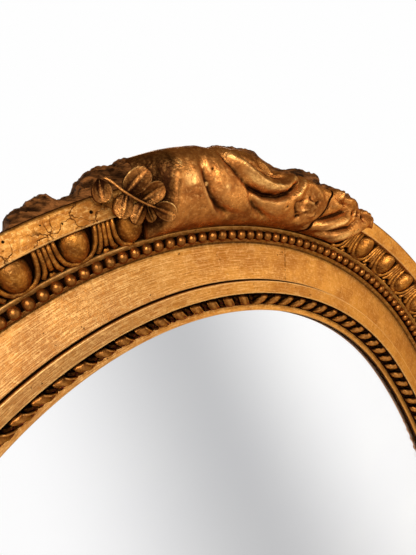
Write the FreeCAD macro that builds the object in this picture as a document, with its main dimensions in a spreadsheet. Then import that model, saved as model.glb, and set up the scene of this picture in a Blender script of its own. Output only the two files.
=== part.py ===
"""Oval giltwood wall mirror with an egg-and-dart moulding and a carved drapery crest.

X runs to the right, Y into the wall and Z up. The origin is the centre of the oval on the back plane.
The outline is a four-centre oval: two end arcs and two side arcs, tangent where the frame's four
segments meet, so every moulding is one profile turned about one axis per segment.
Insets are measured inward from the outer edge, heights forward from the back plane, all in millimetres.
"""

import FreeCAD, Part
import math
import os
import re
import Sketcher

V = FreeCAD.Vector

# Driving dimensions
SIZES = {
    # Oval over the outer edge of the frame
    "outer_width": 858,
    "outer_height": 1076,
    # Main moulding, from the outer edge inward
    "frame_depth": 55,
    "back_taper": 3.5,
    "edge_bevel": 1.5,
    "band_width": 15.5,
    "bed_width": 15.8,
    "bed_top_drop": 9,
    "bed_foot_drop": 17.5,
    "fillet_lean": 1,
    "fillet_top_drop": 11.8,
    "fillet_width": 3,
    "fillet_drop": 2.9,
    "channel_width": 8.1,
    "channel_drop": 6.1,
    "channel_sink": 3,
    "ridge_width": 1.3,
    "ridge_foot_width": 1.7,
    "flat_outer_drop": 23.8,
    "flat_width": 28.9,
    "flat_inner_drop": 19.4,
    "lip_back_drop": 28,
    "rebate_inset": 62,
    "shoulder_inset": 45,
    # Inner slip that holds the glass
    "slip_gap": 0.9,
    "slip_clearance": 0.5,
    "slip_drop": 15,
    "fascia_width": 9.9,
    "fascia_fall": 0.5,
    "twist_width": 9.3,
    "twist_drop": 9.5,
    "twist_sink": 2,
    "sight_width": 5.1,
    "sight_rise": 0.5,
    "sight_lip": 4,
    "glass_wall_inset": 87.5,
    # Ornament
    "egg_pitch": 35.9,
    "egg_width": 18,
    "egg_rise": 10.8,
    "dart_width": 13.6,
    "dart_rise": 8,
    "ornament_glue": 0.15,
    "strip_glue": 0.3,
    "bead_width": 7,
    "bead_rise": 6,
    "twist_lobe_width": 8.6,
    "twist_lobe_rise": 5.4,
    # Glass and back
    "glass_thickness": 4,
    "glass_clearance": 1,
    "block_width": 10,
    "block_length": 40,
    "block_clearance": 0.3,
    "back_thickness": 12,
    "back_clearance": 0.5,
    "plank_width": 250,
    "plank_gap": 0.6,
    # Loose tongues across the segment joints
    "tongue_width": 22,
    "tongue_length": 44,
    "tongue_thickness": 8,
    "tongue_inset": 24,
    "tongue_clearance": 0.1,
    # Wood screws
    "screw_radius": 2,
    "screw_head_radius": 3.8,
    "screw_head_depth": 3,
    "screw_clearance": 0.1,
    "back_screw_length": 24,
    "back_screw_inset": 53.5,
    "crest_screw_bite": 7,
    "crest_screw_inset": 8,
    "hanger_screw_length": 18,
    # Crest
    "crest_foot_inset": 34,
    "crest_foot_drop": 11,
    "crest_forward": 21,
    "crest_overhang": 13,
    "crest_back_drop": 7,
    "crest_root_drop": 19,
    "crest_root_inset": 2,
    "crest_joint_gap": 0.6,
    "ground_overhang": 24,
    "ground_back_height": 14,
    "ground_root": 6,
    "laurel_stem_width": 3.2,
    "laurel_lift": 2,
    "laurel_drop": 34,
    "laurel_overhang": 8,
    "leaf_length": 17,
    "leaf_width": 9.5,
    "leaf_rise": 7,
    # Hangers
    "strap_width": 16,
    "strap_length": 46,
    "strap_thickness": 1.5,
    "strap_screw_spacing": 20,
    "strap_end_margin": 9,
    "knuckle_wall": 1.5,
    "knuckle_lift": 0.22,
    "hanger_inset": 24,
    "ring_wire_radius": 1.75,
    "ring_clearance": 0.08,
    "ring_half_width": 13,
    "ring_corner_radius": 3.5,
    "ring_leg_length": 5,
}

# Directions in degrees from the middle of an arc
ANGLES = {
    "joint_angle": 45.33,
    "crest_left_angle": 16.4,
    "crest_right_angle": 17.4,
    "ground_left_angle": 30,
    "ground_right_angle": 24,
    "laurel_start_angle": 22.4,
    "laurel_end_angle": 14.6,
    "hanger_angle": 19,
}

# The angles of the screws through the back and up into the crest, as shares of their arcs' half angles
END_SCREW_SHARES = (0,)
SIDE_SCREW_SHARES = (-0.66, 0, 0.66)
CREST_SCREW_SHARES = (-0.7, -0.05, 0.8)

# Glazing blocks fill this share of the room between the glass and the backboard
BLOCK_SHARE = 0.76

# Corners of facets closer than this share of a facet's length are one corner
SEW_SHARE = 1e-5

# An egg from its head under the band to its foot: place along the bed, half width, rise
EGG_SHARES = ((0.00, 0.84, 0.70), (0.36, 1.00, 1.00), (0.74, 0.82, 0.90), (1.00, 0.34, 0.50))
# Section of an egg from one side to the other: half width, rise
EGG_SECTION_SHARES = ((-1, 0.34), (-0.72, 0.80), (0, 1), (0.72, 0.80), (1, 0.34))
# A dart widens to its foot: place along the bed, half width, rise
DART_SHARES = ((0.00, 0.72, 0.80), (1.00, 1.00, 0.78))
# Three ribs and two flutes across a dart: half width, rise
DART_SECTION_SHARES = ((-1, 0.72), (-0.66, 1), (-0.33, 0.62), (0, 1), (0.33, 0.62), (0.66, 1), (1, 0.72))
# Crown of a pressed strip in three facets: half width, rise
STRIP_SHARES = ((-0.7, 0), (-0.86, 0.5), (-0.45, 1), (0.45, 1), (0.86, 0.5), (0.7, 0))

# Drapery section from the foot to the back of the overhang: place across, place forward
DRAPE_SECTION_SHARES = ((0, 0), (0.07, 0.40), (0.24, 0.80), (0.50, 1.0), (0.76, 0.90), (0.93, 0.52))
# Drapery folds, left to right: place along (left end -1, right end 1), forward, overhang
DRAPE_FOLD_SHARES = (
    (-1.00, 0.40, 0.40),
    (-0.87, 0.92, 0.70),
    (-0.76, 0.84, 0.78),
    (-0.65, 0.68, 0.86),
    (-0.54, 0.96, 0.95),
    (-0.38, 0.92, 1.00),
    (-0.24, 0.78, 1.00),
    (-0.06, 1.00, 1.00),
    (0.14, 0.94, 0.92),
    (0.28, 1.00, 0.80),
    (0.44, 0.82, 0.66),
)
DRAPE_TAIL_SHARES = (
    (0.44, 0.80, 0.64),
    (0.56, 0.92, 0.56),
    (0.66, 0.66, 0.50),
    (0.78, 0.82, 0.46),
    (0.88, 0.56, 0.36),
    (1.00, 0.30, 0.20),
)
# Rough-hewn ground behind the crest: place along, overhang
GROUND_LEFT_SHARES = (
    (-1.00, 0.10),
    (-0.93, 0.28),
    (-0.84, 0.42),
    (-0.77, 0.24),
    (-0.72, 0.50),
    (-0.64, 0.68),
    (-0.53, 0.84),
    (-0.44, 0.80),
    (-0.28, 0.90),
    (-0.10, 1.00),
    (0.02, 0.94),
)
GROUND_RIGHT_SHARES = (
    (0.02, 0.94),
    (0.12, 0.56),
    (0.28, 0.74),
    (0.40, 0.50),
    (0.54, 0.62),
    (0.68, 0.42),
    (0.80, 0.40),
    (0.92, 0.56),
    (1.00, 0.12),
)
# Rough-hewn section from the outer edge round the top: place outward, place forward
GROUND_SECTION_SHARES = ((0.70, 0.04), (1.00, 0.34), (0.94, 0.80), (0.60, 1.00))
# Laurel stem: place along, place down, rise in front of the band
STEM_SHARES = ((0, 0.0, 0.30), (0.30, 0.42, 0.34), (0.62, 0.70, 0.42), (0.90, 0.92, 0.50))
# Laurel leaves: root's place along and down, and the leaf's direction in degrees from the right
LEAF_SHARES = (
    (0.05, 0.06, 130),
    (0.16, 0.20, 52),
    (0.26, 0.36, -112),
    (0.38, 0.50, 40),
    (0.50, 0.60, -104),
    (0.72, 0.78, 34),
    (0.84, 0.86, -38),
)
# A leaf from root to tip: place along, half width, rise
LEAF_OUTLINE_SHARES = ((0, 0.16, 0.30), (0.30, 0.80, 0.85), (0.58, 1.00, 1.00), (0.84, 0.62, 0.70), (1, 0.08, 0.25))

os.makedirs("parts", exist_ok=True)
doc = FreeCAD.newDocument("oval_giltwood_mirror")

sheet = doc.addObject("Spreadsheet::Sheet", "Sizes")
for row, (alias, size) in enumerate({**SIZES, **ANGLES}.items(), 1):
    sheet.set(f"A{row}", alias)
    sheet.set(f"B{row}", str(size))
    sheet.setAlias(f"B{row}", alias)
doc.recompute()

OWNER = {alias: "Sizes." for alias in {**SIZES, **ANGLES}}


def expr(text):
    """The expression with every named size and line led back to the object that holds it."""
    return re.sub(r"[a-z]+(_[a-z]+)+", lambda word: OWNER.get(word[0], "") + word[0], text)


def number(text):
    """The present value of an expression in named sizes."""
    result = sheet.evalExpression(expr(text))
    return float(getattr(result, "Value", result))


# Lines worked out once from the driving dimensions
LINES = {
    "end_centre": "(outer_height - outer_width) / 2 / (1 + tan(joint_angle) - 1 / cos(joint_angle))",
    "end_radius": "outer_height / 2 - end_centre",
    "side_offset": "end_centre * tan(joint_angle)",
    "side_radius": "outer_width / 2 + side_offset",
    "bed_top_height": "frame_depth - bed_top_drop",
    "bed_foot_height": "frame_depth - bed_foot_drop",
    "fillet_height": "frame_depth - fillet_top_drop",
    "flat_outer_height": "frame_depth - flat_outer_drop",
    "flat_inner_height": "frame_depth - flat_inner_drop",
    "lip_back_height": "frame_depth - lip_back_drop",
    "slip_height": "frame_depth - slip_drop",
    "crest_foot_height": "frame_depth - crest_foot_drop",
    "crest_back_height": "frame_depth - crest_back_drop",
    "crest_root_height": "frame_depth - crest_root_drop",
    "crest_screw_length": "frame_depth + crest_screw_bite",
    "laurel_height": "frame_depth + laurel_lift",
    "bed_foot": "band_width + bed_width",
    "fillet_start": "bed_foot + fillet_lean",
    "channel_start": "fillet_start + fillet_width",
    "channel_top": "fillet_height - fillet_drop",
    "channel_end": "channel_start + channel_width",
    "ridge_top": "channel_top - channel_drop",
    "ridge_end": "channel_end + ridge_width",
    "flat_start": "ridge_end + ridge_foot_width",
    "flat_end": "flat_start + flat_width",
    "slip_start": "flat_end + slip_gap",
    "fascia_end": "slip_start + fascia_width",
    "twist_top": "slip_height - fascia_fall",
    "twist_end": "fascia_end + twist_width",
    "twist_foot": "twist_top - twist_drop",
    "sight_inset": "twist_end + sight_width",
    "sight_height": "twist_foot + sight_rise",
    "glass_front": "sight_height - sight_lip",
    "glass_back": "glass_front - glass_thickness",
    "block_room": "glass_back - back_thickness",
    "tongue_height": "(back_thickness + lip_back_height) / 2",
    "knuckle_radius": "ring_wire_radius + ring_clearance + knuckle_wall",
    "pivot_depth": "knuckle_radius + knuckle_lift",
}
lines = doc.addObject("App::VarSet", "Lines")
for line_name, formula in LINES.items():
    lines.addProperty("App::PropertyFloat", line_name)
    lines.setExpression(line_name, expr(formula))
    OWNER[line_name] = "Lines."
lines.addProperty("App::PropertyAngle", "end_angle")
lines.setExpression("end_angle", expr("atan(side_offset / end_centre)"))
lines.addProperty("App::PropertyAngle", "side_angle")
lines.setExpression("side_angle", expr("atan(end_centre / side_offset)"))
OWNER["end_angle"] = OWNER["side_angle"] = "Lines."
doc.recompute()

# Each segment: its arc, the turn of its middle from the top, and where its axis stands
SEGMENTS = {
    "top": ("end", 0, "z", "end_centre"),
    "right": ("side", 90, "x", "-side_offset"),
    "bottom": ("end", 180, "z", "-end_centre"),
    "left": ("side", -90, "x", "side_offset"),
}
# A segment's own frame: X outward through its middle, Y anticlockwise along it, Z forward from the wall
UPRIGHT = FreeCAD.Rotation(V(0, 0, 1), V(-1, 0, 0), V(0, -1, 0), "XYZ")
FORWARD = V(0, -1, 0)


def add(kind, name):
    """A document object whose label is its name."""
    piece = doc.addObject(kind, name)
    piece.Label = name
    return piece


def shaped(name, shape):
    """A sub-part whose shape is worked out here."""
    piece = add("Part::Feature", name)
    piece.Shape = shape
    return piece


def joined(kind, name, **links):
    """A boolean or compound of document objects."""
    piece = add(kind, name)
    for key, link in links.items():
        setattr(piece, key, link)
    return piece


def origin_plane(body, role):
    return next(item for item in body.Origin.OriginFeatures if item.Role == role)


def sketch_on(body, name, role):
    sketch = body.newObject("Sketcher::SketchObject", name)
    sketch.AttachmentSupport = [(origin_plane(body, role), "")]
    sketch.MapMode = "FlatFace"
    return sketch


def pin(sketch, kind, geometry, point, text):
    """Fixes one coordinate of a sketch point to an expression, on either side of the axis."""
    place = number(text)
    if place >= 0:
        index = sketch.addConstraint(Sketcher.Constraint(kind, -1, 1, geometry, point, place))
        sketch.setExpression(f"Constraints[{index}]", expr(text))
    else:
        index = sketch.addConstraint(Sketcher.Constraint(kind, geometry, point, -1, 1, -place))
        sketch.setExpression(f"Constraints[{index}]", expr(f"-({text})"))


def outline(sketch, points):
    """A closed outline of straight lines through points given as expressions."""
    places = [V(number(across), number(up), 0) for across, up in points]
    count = len(places)
    for index in range(count):
        sketch.addGeometry(Part.LineSegment(places[index], places[(index + 1) % count]))
    for index in range(count):
        sketch.addConstraint(Sketcher.Constraint("Coincident", index, 2, (index + 1) % count, 1))
    for index, (across, up) in enumerate(points):
        pin(sketch, "DistanceX", index, 1, across)
        if up == "0":
            sketch.addConstraint(Sketcher.Constraint("PointOnObject", index, 1, -1))
        else:
            pin(sketch, "DistanceY", index, 1, up)


def stand(piece, side):
    """Sets a piece from its segment's own frame into the mirror."""
    _, turn, axis, place = SEGMENTS[side]
    rotation = FreeCAD.Rotation(V(0, 1, 0), turn).multiply(UPRIGHT)
    piece.Placement = FreeCAD.Placement(V(0, 0, 0), rotation)
    piece.setExpression(f"Placement.Base.{axis}", expr(place))


def turned(name, side, points):
    """One segment of a moulding: a profile of (inset, height) pairs turned about the segment's axis."""
    arc = SEGMENTS[side][0]
    body = add("PartDesign::Body", name)
    sketch = sketch_on(body, f"{name}_profile", "XZ_Plane")
    outline(sketch, [(f"{arc}_radius - ({inset})", height) for inset, height in points])
    turn = body.newObject("PartDesign::Revolution", f"{name}_arc")
    turn.Profile = sketch
    turn.ReferenceAxis = (sketch, ["V_Axis"])
    turn.Midplane = True
    turn.setExpression("Angle", expr(f"2 * {arc}_angle"))
    stand(body, side)
    return body


def oval(body, name, inset):
    """A four-centre oval at an inset, each arc held by its two joints and by its centre's place on its axis."""
    sketch = sketch_on(body, name, "XZ_Plane")
    joint_x = f"(end_radius - ({inset})) * sin(end_angle)"
    joint_z = f"end_centre + (end_radius - ({inset})) * cos(end_angle)"
    corners = [(joint_x, joint_z), (f"-({joint_x})", joint_z), (f"-({joint_x})", f"-({joint_z})"),
               (joint_x, f"-({joint_z})")]
    centres = [("0", "end_centre"), ("side_offset", "0"), ("0", "-end_centre"), ("-side_offset", "0")]
    for index, (across, up) in enumerate(centres):
        start, end = corners[index], corners[(index + 1) % len(corners)]
        middle = V(number(across), number(up), 0)
        first = V(number(start[0]), number(start[1]), 0).sub(middle)
        last = V(number(end[0]), number(end[1]), 0).sub(middle)
        begin = math.atan2(first.y, first.x)
        sweep = (math.atan2(last.y, last.x) - begin) % (2 * math.pi)
        circle = Part.Circle(middle, V(0, 0, 1), first.Length)
        sketch.addGeometry(Part.ArcOfCircle(circle, begin, begin + sweep))
    count = len(centres)
    for index in range(count):
        sketch.addConstraint(Sketcher.Constraint("Coincident", index, 2, (index + 1) % count, 1))
    for index, (across, up) in enumerate(corners):
        pin(sketch, "DistanceX", index, 1, across)
        pin(sketch, "DistanceY", index, 1, up)
    for index, (across, up) in enumerate(centres):
        if up == "0":
            pin(sketch, "DistanceX", index, 3, across)
        else:
            pin(sketch, "DistanceY", index, 3, up)
    return sketch


def oval_plate(name, inset, back_height, thickness):
    """A flat oval plate that starts at a height in front of the wall."""
    body = add("PartDesign::Body", name)
    sketch = oval(body, f"{name}_outline", inset)
    pad = body.newObject("PartDesign::Pad", f"{name}_pad")
    pad.Profile = sketch
    pad.setExpression("Length", expr(thickness))
    body.setExpression("Placement.Base.y", expr(f"-({back_height})"))
    return body


def fan(corners):
    """Triangles that close an end from its first corner, which sees all the others."""
    return [(corners[0], corners[index], corners[index + 1]) for index in range(1, len(corners) - 1)]


def faceted(sections):
    """A solid in plane facets through closed polygons of equal count, closed at both ends."""
    count = len(sections[0])
    corners = [point for section in sections for point in section]
    triangles = []
    for row in range(len(sections) - 1):
        for index in range(count):
            here, beside = row * count + index, row * count + (index + 1) % count
            triangles.append((here, beside, beside + count))
            triangles.append((here, beside + count, here + count))
    first, last = list(range(count)), list(range(len(corners) - count, len(corners)))
    triangles += fan(first[:1] + first[:0:-1]) + fan(last)
    shell = Part.Shape()
    shell.makeShapeFromMesh((corners, triangles), SEW_SHARE * min(a.distanceToPoint(b) for a, b in zip(*sections[:2])))
    solid = Part.makeSolid(shell)
    if solid.Volume < 0:
        solid.reverse()
    return solid


def largest(shape):
    """The main solid of a cut, without any chip that it leaves."""
    return max(shape.Solids, key=lambda solid: solid.Volume)


# Main moulding: outer edge, band, egg bed, fillet, bead channel, ridge, broad flat, lip, rebate and back
FRAME_PROFILE = (
    ("back_taper", "0"),
    ("0", "frame_depth - edge_bevel"),
    ("edge_bevel", "frame_depth"),
    ("band_width", "frame_depth"),
    ("band_width", "bed_top_height"),
    ("bed_foot", "bed_foot_height"),
    ("fillet_start", "fillet_height"),
    ("channel_start", "channel_top"),
    ("channel_start", "channel_top - channel_sink"),
    ("channel_end", "ridge_top - channel_sink"),
    ("channel_end", "ridge_top"),
    ("ridge_end", "ridge_top - ridge_width"),
    ("flat_start", "flat_outer_height"),
    ("flat_end", "flat_inner_height"),
    ("flat_end", "lip_back_height"),
    ("rebate_inset", "lip_back_height"),
    ("rebate_inset", "back_thickness"),
    ("shoulder_inset", "back_thickness"),
    ("shoulder_inset", "0"),
)
# Slip: flange behind the lip, fascia, twist channel, sight edge and the rebate for the glass
SLIP_PROFILE = (
    ("rebate_inset + slip_clearance", "back_thickness"),
    ("rebate_inset + slip_clearance", "lip_back_height"),
    ("slip_start", "lip_back_height"),
    ("slip_start", "slip_height"),
    ("fascia_end", "twist_top"),
    ("fascia_end", "twist_top - twist_sink"),
    ("twist_end", "twist_foot - twist_sink"),
    ("twist_end", "twist_foot"),
    ("sight_inset", "sight_height"),
    ("sight_inset", "glass_front"),
    ("glass_wall_inset", "glass_front"),
    ("glass_wall_inset", "back_thickness"),
)


def strip_profile(inset, height, run, drop, width, rise):
    """A pressed strip on a channel's sloping floor, in three facets round the floor's middle."""
    length = f"sqrt(({run}) * ({run}) + ({drop}) * ({drop}))"
    points = []
    for across, up in STRIP_SHARES:
        along = f"({across}) * ({width}) / 2"
        lift = f"strip_glue + ({up}) * ({rise})"
        points.append((
            f"({inset}) + ({run}) / 2 + (({along}) * ({run}) + ({lift}) * ({drop})) / {length}",
            f"({height}) - ({drop}) / 2 + (({lift}) * ({run}) - ({along}) * ({drop})) / {length}",
        ))
    return points


BEAD_PROFILE = strip_profile(
    "channel_start", "channel_top - channel_sink", "channel_width", "channel_drop", "bead_width", "bead_rise")
TWIST_PROFILE = strip_profile(
    "fascia_end", "twist_top - twist_sink", "twist_width", "twist_drop", "twist_lobe_width", "twist_lobe_rise")

mouldings = {side: turned(f"moulding_{side}", side, FRAME_PROFILE) for side in SEGMENTS}
for side in SEGMENTS:
    turned(f"slip_{side}", side, SLIP_PROFILE)
    turned(f"bead_course_{side}", side, BEAD_PROFILE)
    turned(f"twist_course_{side}", side, TWIST_PROFILE)
doc.recompute()


def spot(arc, turn, angle, inset, height):
    """A place in the mirror: degrees clockwise from an arc's middle, inset and height."""
    radius = number(f"{arc}_radius") - inset
    centre = {"end": number("end_centre"), "side": -number("side_offset")}[arc]
    point = V(radius * math.sin(math.radians(angle)), -height, centre + radius * math.cos(math.radians(angle)))
    return FreeCAD.Rotation(V(0, 1, 0), turn).multVec(point)


# Wood screws with countersunk heads, driven forward from the back
def screw(place, length, clearance):
    shank_radius = number("screw_radius") + clearance
    head_radius = number("screw_head_radius") + clearance
    head = Part.makeCone(head_radius, shank_radius, number("screw_head_depth"), place, FORWARD)
    return head.fuse(Part.makeCylinder(shank_radius, length + clearance, place, FORWARD)).removeSplitter()


def hanger_place(mirrored):
    """The middle of a hanger's pivot on the back plane."""
    angle = -number("hanger_angle") if not mirrored else number("hanger_angle")
    return spot("side", -90 if mirrored else 90, angle, number("hanger_inset"), 0)


back_places = []
for arc, turn, _, _ in SEGMENTS.values():
    for share in END_SCREW_SHARES if arc == "end" else SIDE_SCREW_SHARES:
        angle = share * number(f"{arc}_angle")
        back_places.append(spot(arc, turn, angle, number("back_screw_inset"), 0))
crest_places = []
for share in CREST_SCREW_SHARES:
    reach = number("crest_right_angle") if share > 0 else number("crest_left_angle")
    crest_places.append(spot("end", 0, share * reach, number("crest_screw_inset"), 0))
hanger_places = []
for mirrored in (False, True):
    pivot = hanger_place(mirrored)
    low = number("strap_length - strap_end_margin")
    for drop in (low - number("strap_screw_spacing"), low):
        hanger_places.append(V(pivot.x, number("strap_thickness"), pivot.z - drop))

SCREW_SETS = {
    "backboard_screws": (back_places, "back_screw_length"),
    "crest_screws": (crest_places, "crest_screw_length"),
    "hanger_screws": (hanger_places, "hanger_screw_length"),
}
holes = {}
for name, (places, length) in SCREW_SETS.items():
    shaped(name, Part.makeCompound([screw(place, number(length), 0) for place in places]))
    clear = number("screw_clearance")
    cuts = Part.makeCompound([screw(place, number(length), clear) for place in places])
    holes[name] = shaped(f"{name}_holes", cuts)

# Loose tongues and their mortises across the four joints between segments
def tongue(name, clearance):
    box = add("Part::Box", name)
    box.setExpression("Length", expr(f"tongue_length + 2 * {clearance}"))
    box.setExpression("Width", expr(f"tongue_thickness + 2 * {clearance}"))
    box.setExpression("Height", expr(f"tongue_width + 2 * {clearance}"))
    middle = "(end_radius - tongue_inset)"
    half_length = f"(tongue_length / 2 + {clearance})"
    half_width = f"(tongue_width / 2 + {clearance})"
    box.Placement = FreeCAD.Placement(V(0, 0, 0), FreeCAD.Rotation(V(0, 1, 0), number("end_angle")))
    box.setExpression("Placement.Rotation.Angle", expr("end_angle"))
    across = f"({middle} - {half_width}) * sin(end_angle) - {half_length} * cos(end_angle)"
    up = f"end_centre + ({middle} - {half_width}) * cos(end_angle) + {half_length} * sin(end_angle)"
    box.setExpression("Placement.Base.x", expr(across))
    box.setExpression("Placement.Base.y", expr(f"-(tongue_height + tongue_thickness / 2 + {clearance})"))
    box.setExpression("Placement.Base.z", expr(up))
    return box


def four_ways(name, piece):
    """A piece with its mirror images to the left, below, and below left."""
    left = joined("Part::Mirroring", f"{name}_left", Source=piece, Normal=V(1, 0, 0))
    pair = joined("Part::Compound", f"{name}_pair", Links=[piece, left])
    below = joined("Part::Mirroring", f"{name}_below", Source=pair, Normal=V(0, 0, 1))
    return joined("Part::Compound", name, Links=[pair, below])


four_ways("segment_tongues", tongue("joint_tongue", "0"))
mortises = four_ways("segment_mortises", tongue("joint_mortise", "tongue_clearance"))

frame_cuts = joined("Part::Compound", "frame_cuts", Links=[mortises, *holes.values()])
for side in SEGMENTS:
    joined("Part::Cut", f"frame_segment_{side}", Base=mouldings[side], Tool=frame_cuts)

# Mirror glass in the slip's rebate
oval_plate("mirror_plate", "glass_wall_inset + glass_clearance", "glass_back", "glass_thickness")

# Backboard of three upright planks, let in flush with the back of the frame
PLANK_EDGE = "plank_width / 2 + plank_gap / 2"


def plank_keep(name, start, width):
    """The upright slab that one plank keeps of the whole oval."""
    box = add("Part::Box", name)
    box.setExpression("Length", expr(width))
    box.setExpression("Width", expr("back_thickness"))
    box.setExpression("Height", expr("outer_height"))
    box.setExpression("Placement.Base.x", expr(start))
    box.setExpression("Placement.Base.y", expr("-back_thickness"))
    box.setExpression("Placement.Base.z", expr("-outer_height / 2"))
    return box


PLANKS = {
    "left": ("-outer_width / 2", f"outer_width / 2 - ({PLANK_EDGE})"),
    "centre": ("-(plank_width - plank_gap) / 2", "plank_width - plank_gap"),
    "right": (PLANK_EDGE, f"outer_width / 2 - ({PLANK_EDGE})"),
}
board = oval_plate("whole_backboard", "shoulder_inset + back_clearance", "0", "back_thickness")
for side, (start, width) in PLANKS.items():
    keep = plank_keep(f"plank_slab_{side}", start, width)
    plank = joined("Part::Common", f"plank_{side}", Base=board, Tool=keep)
    joined("Part::Cut", f"backboard_{side}", Base=plank, Tool=holes["backboard_screws"])
doc.recompute()

# Glazing blocks wedged between the back of the glass and the slip's wall
def glazing_block(arc):
    wall = number(f"{arc}_radius - glass_wall_inset - block_clearance")
    inner = wall - number("block_width")
    back = number("glass_back")
    foot = back - BLOCK_SHARE * number("block_room")
    face = Part.Face(Part.makePolygon([V(wall, 0, back), V(inner, 0, back), V(wall, 0, foot), V(wall, 0, back)]))
    sweep = math.degrees(number("block_length") / wall)
    block = face.revolve(V(0, 0, 0), V(0, 0, 1), sweep)
    block.rotate(V(0, 0, 0), V(0, 0, 1), -sweep / 2)
    return block


def place_copies(unit, side, angles):
    """Copies of a unit shape turned along one segment, in the mirror's frame."""
    copies = []
    for angle in angles:
        copy = unit.copy()
        copy.rotate(V(0, 0, 0), V(0, 0, 1), angle)
        copy.Placement = mouldings[side].Placement.multiply(copy.Placement)
        copies.append(copy)
    return copies


blocks = []
for side, (arc, *_rest) in SEGMENTS.items():
    shares = END_SCREW_SHARES if arc == "end" else SIDE_SCREW_SHARES
    blocks += place_copies(glazing_block(arc), side, [share * number(f"{arc}_angle") for share in shares])
shaped("glazing_blocks", Part.makeCompound(blocks))


# Egg-and-dart course: each unit is faceted through sections across the sloping bed, a glue line off it
def bed_unit(arc, section_shares, along_shares, width, rise):
    glue = number("ornament_glue")
    start = number("band_width") + glue
    run = number("bed_width") - 2 * glue
    slope = number("(bed_top_height - bed_foot_height) / bed_width")
    sections = []
    for along, half_share, rise_share in along_shares:
        inset = start + along * run
        bed = number("bed_top_height") - (inset - number("band_width")) * slope
        half = number(width) / 2 * half_share
        profile = [(0, glue), (-half, glue)]
        profile += [(across * half, up * rise_share * number(rise)) for across, up in section_shares]
        profile.append((half, glue))
        radius = number(f"{arc}_radius") - inset
        sections.append([V(radius, across, bed + up) for across, up in profile])
    return faceted(sections)


def course_angles(arc, first_share):
    """Even places along a whole segment, the first at a share of a pitch from its clockwise end."""
    half = number(f"{arc}_angle")
    reach = math.radians(2 * half) * (number(f"{arc}_radius") - number("band_width + bed_width / 2"))
    count = max(1, round(reach / number("egg_pitch")))
    pitch = 2 * half / count
    return [-half + (index + first_share) * pitch for index in range(count)]


def top_angles(right_share, left_share, width):
    """Places along the top segment in towards the crest from its two ends, clear of it by half a unit."""
    half = number("end_angle")
    bed_radius = number("end_radius - band_width - bed_width / 2")
    pitch = math.degrees(number("egg_pitch") / bed_radius)
    clear = math.degrees(number(width) / 2 / bed_radius)
    count = int(half / pitch)
    right = [-half + (index + right_share) * pitch for index in range(count)]
    left = [half - (index + left_share) * pitch for index in range(count)]
    return ([angle for angle in right if angle < -number("crest_right_angle") - clear]
            + [angle for angle in left if angle > number("crest_left_angle") + clear])


COURSES = {
    "eggs": (EGG_SECTION_SHARES, EGG_SHARES, "egg_width", "egg_rise", 0.75),
    "darts": (DART_SECTION_SHARES, DART_SHARES, "dart_width", "dart_rise", 0.25),
}
course_solids = {}
for name, (section_shares, along_shares, width, rise, first_share) in COURSES.items():
    for side, (arc, *_rest) in SEGMENTS.items():
        unit = bed_unit(arc, section_shares, along_shares, width, rise)
        angles = course_angles(arc, first_share)
        if side == "top":
            angles = top_angles(first_share, 1 - first_share, width)
        course_solids[name, side] = shaped(f"{name}_{side}", Part.makeCompound(place_copies(unit, side, angles)))

# Carved crest on the top segment
moulding_top = mouldings["top"].Shape


def crest_point(angle, inset, height):
    return spot("end", 0, angle, inset, height)


def along_crest(share, left, right):
    """The angle of a place along the crest, from its left end at -1 to its right end at 1."""
    return share * number(right if share > 0 else left)


def drapery(folds):
    """Folds of cloth that fill the egg bed, lie on the band and hang over the outer edge."""
    foot_inset, foot_height = number("crest_foot_inset"), number("crest_foot_height")
    root_height, back_height = number("crest_root_height"), number("crest_back_height")
    root_inset = number("crest_root_inset")
    sections = []
    for along, forward, overhang in folds:
        angle = along_crest(along, "crest_left_angle", "crest_right_angle")
        across = foot_inset + overhang * number("crest_overhang")
        rise = number("frame_depth") - foot_height + forward * number("crest_forward")
        profile = [(root_inset, back_height), (root_inset, root_height), (foot_inset, root_height)]
        profile += [(foot_inset - u * across, foot_height + w * rise) for u, w in DRAPE_SECTION_SHARES]
        profile.append((foot_inset - across, back_height))
        sections.append([crest_point(angle, inset, height) for inset, height in profile])
    return faceted(sections).cut(moulding_top)


def ground(shares):
    """Rough-hewn wood behind the crest, seated on the frame's outer edge."""
    back = number("ground_back_height")
    rise = number("crest_back_height") - back
    root = number("ground_root")
    sections = []
    for along, overhang in shares:
        angle = along_crest(along, "ground_left_angle", "ground_right_angle")
        reach = overhang * number("ground_overhang")
        profile = [(root, back)]
        profile += [(-u * reach, back + w * rise) for u, w in GROUND_SECTION_SHARES]
        profile.append((root, back + rise))
        sections.append([crest_point(angle, inset, height) for inset, height in profile])
    return faceted(sections).cut(moulding_top)


crest_holes = holes["crest_screws"].Shape
tail_start = DRAPE_TAIL_SHARES[0][0] * number("crest_right_angle")
joint_angle = math.degrees(number("crest_joint_gap / end_radius"))
drape_main = largest(drapery(DRAPE_FOLD_SHARES).cut(crest_holes))
drape_tail = drapery(DRAPE_TAIL_SHARES)
drape_tail.rotate(V(0, 0, number("end_centre")), V(0, 1, 0), joint_angle)
drape_tail = largest(drape_tail.cut(moulding_top).cut(crest_holes))
shaped("crest_drape", drape_main)
shaped("crest_drape_right", drape_tail)

ground_left = ground(GROUND_LEFT_SHARES)
ground_right = ground(GROUND_RIGHT_SHARES)
shaped("crest_ground_left", largest(ground_left))
shaped("crest_ground_right", largest(ground_right))

# Laurel spray in front of the band at the crest's left end: a stem with leaves, carved in one piece
def laurel_place(along, down, height):
    start, end = number("laurel_start_angle"), number("laurel_end_angle")
    inset = down * number("laurel_drop") - number("laurel_overhang")
    return crest_point(-(start + along * (end - start)), inset, height)


def bar(start, end, width):
    """A square bar between two places, its faces turned forward."""
    along = end.sub(start).normalize()
    side = along.cross(V(0, 1, 0)).normalize() * (width / 2)
    up = along.cross(side).normalize() * (width / 2)
    ring = (side + up, side - up, -side - up, -side + up)
    return faceted([[place + offset for offset in ring] for place in (start, end)])


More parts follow.
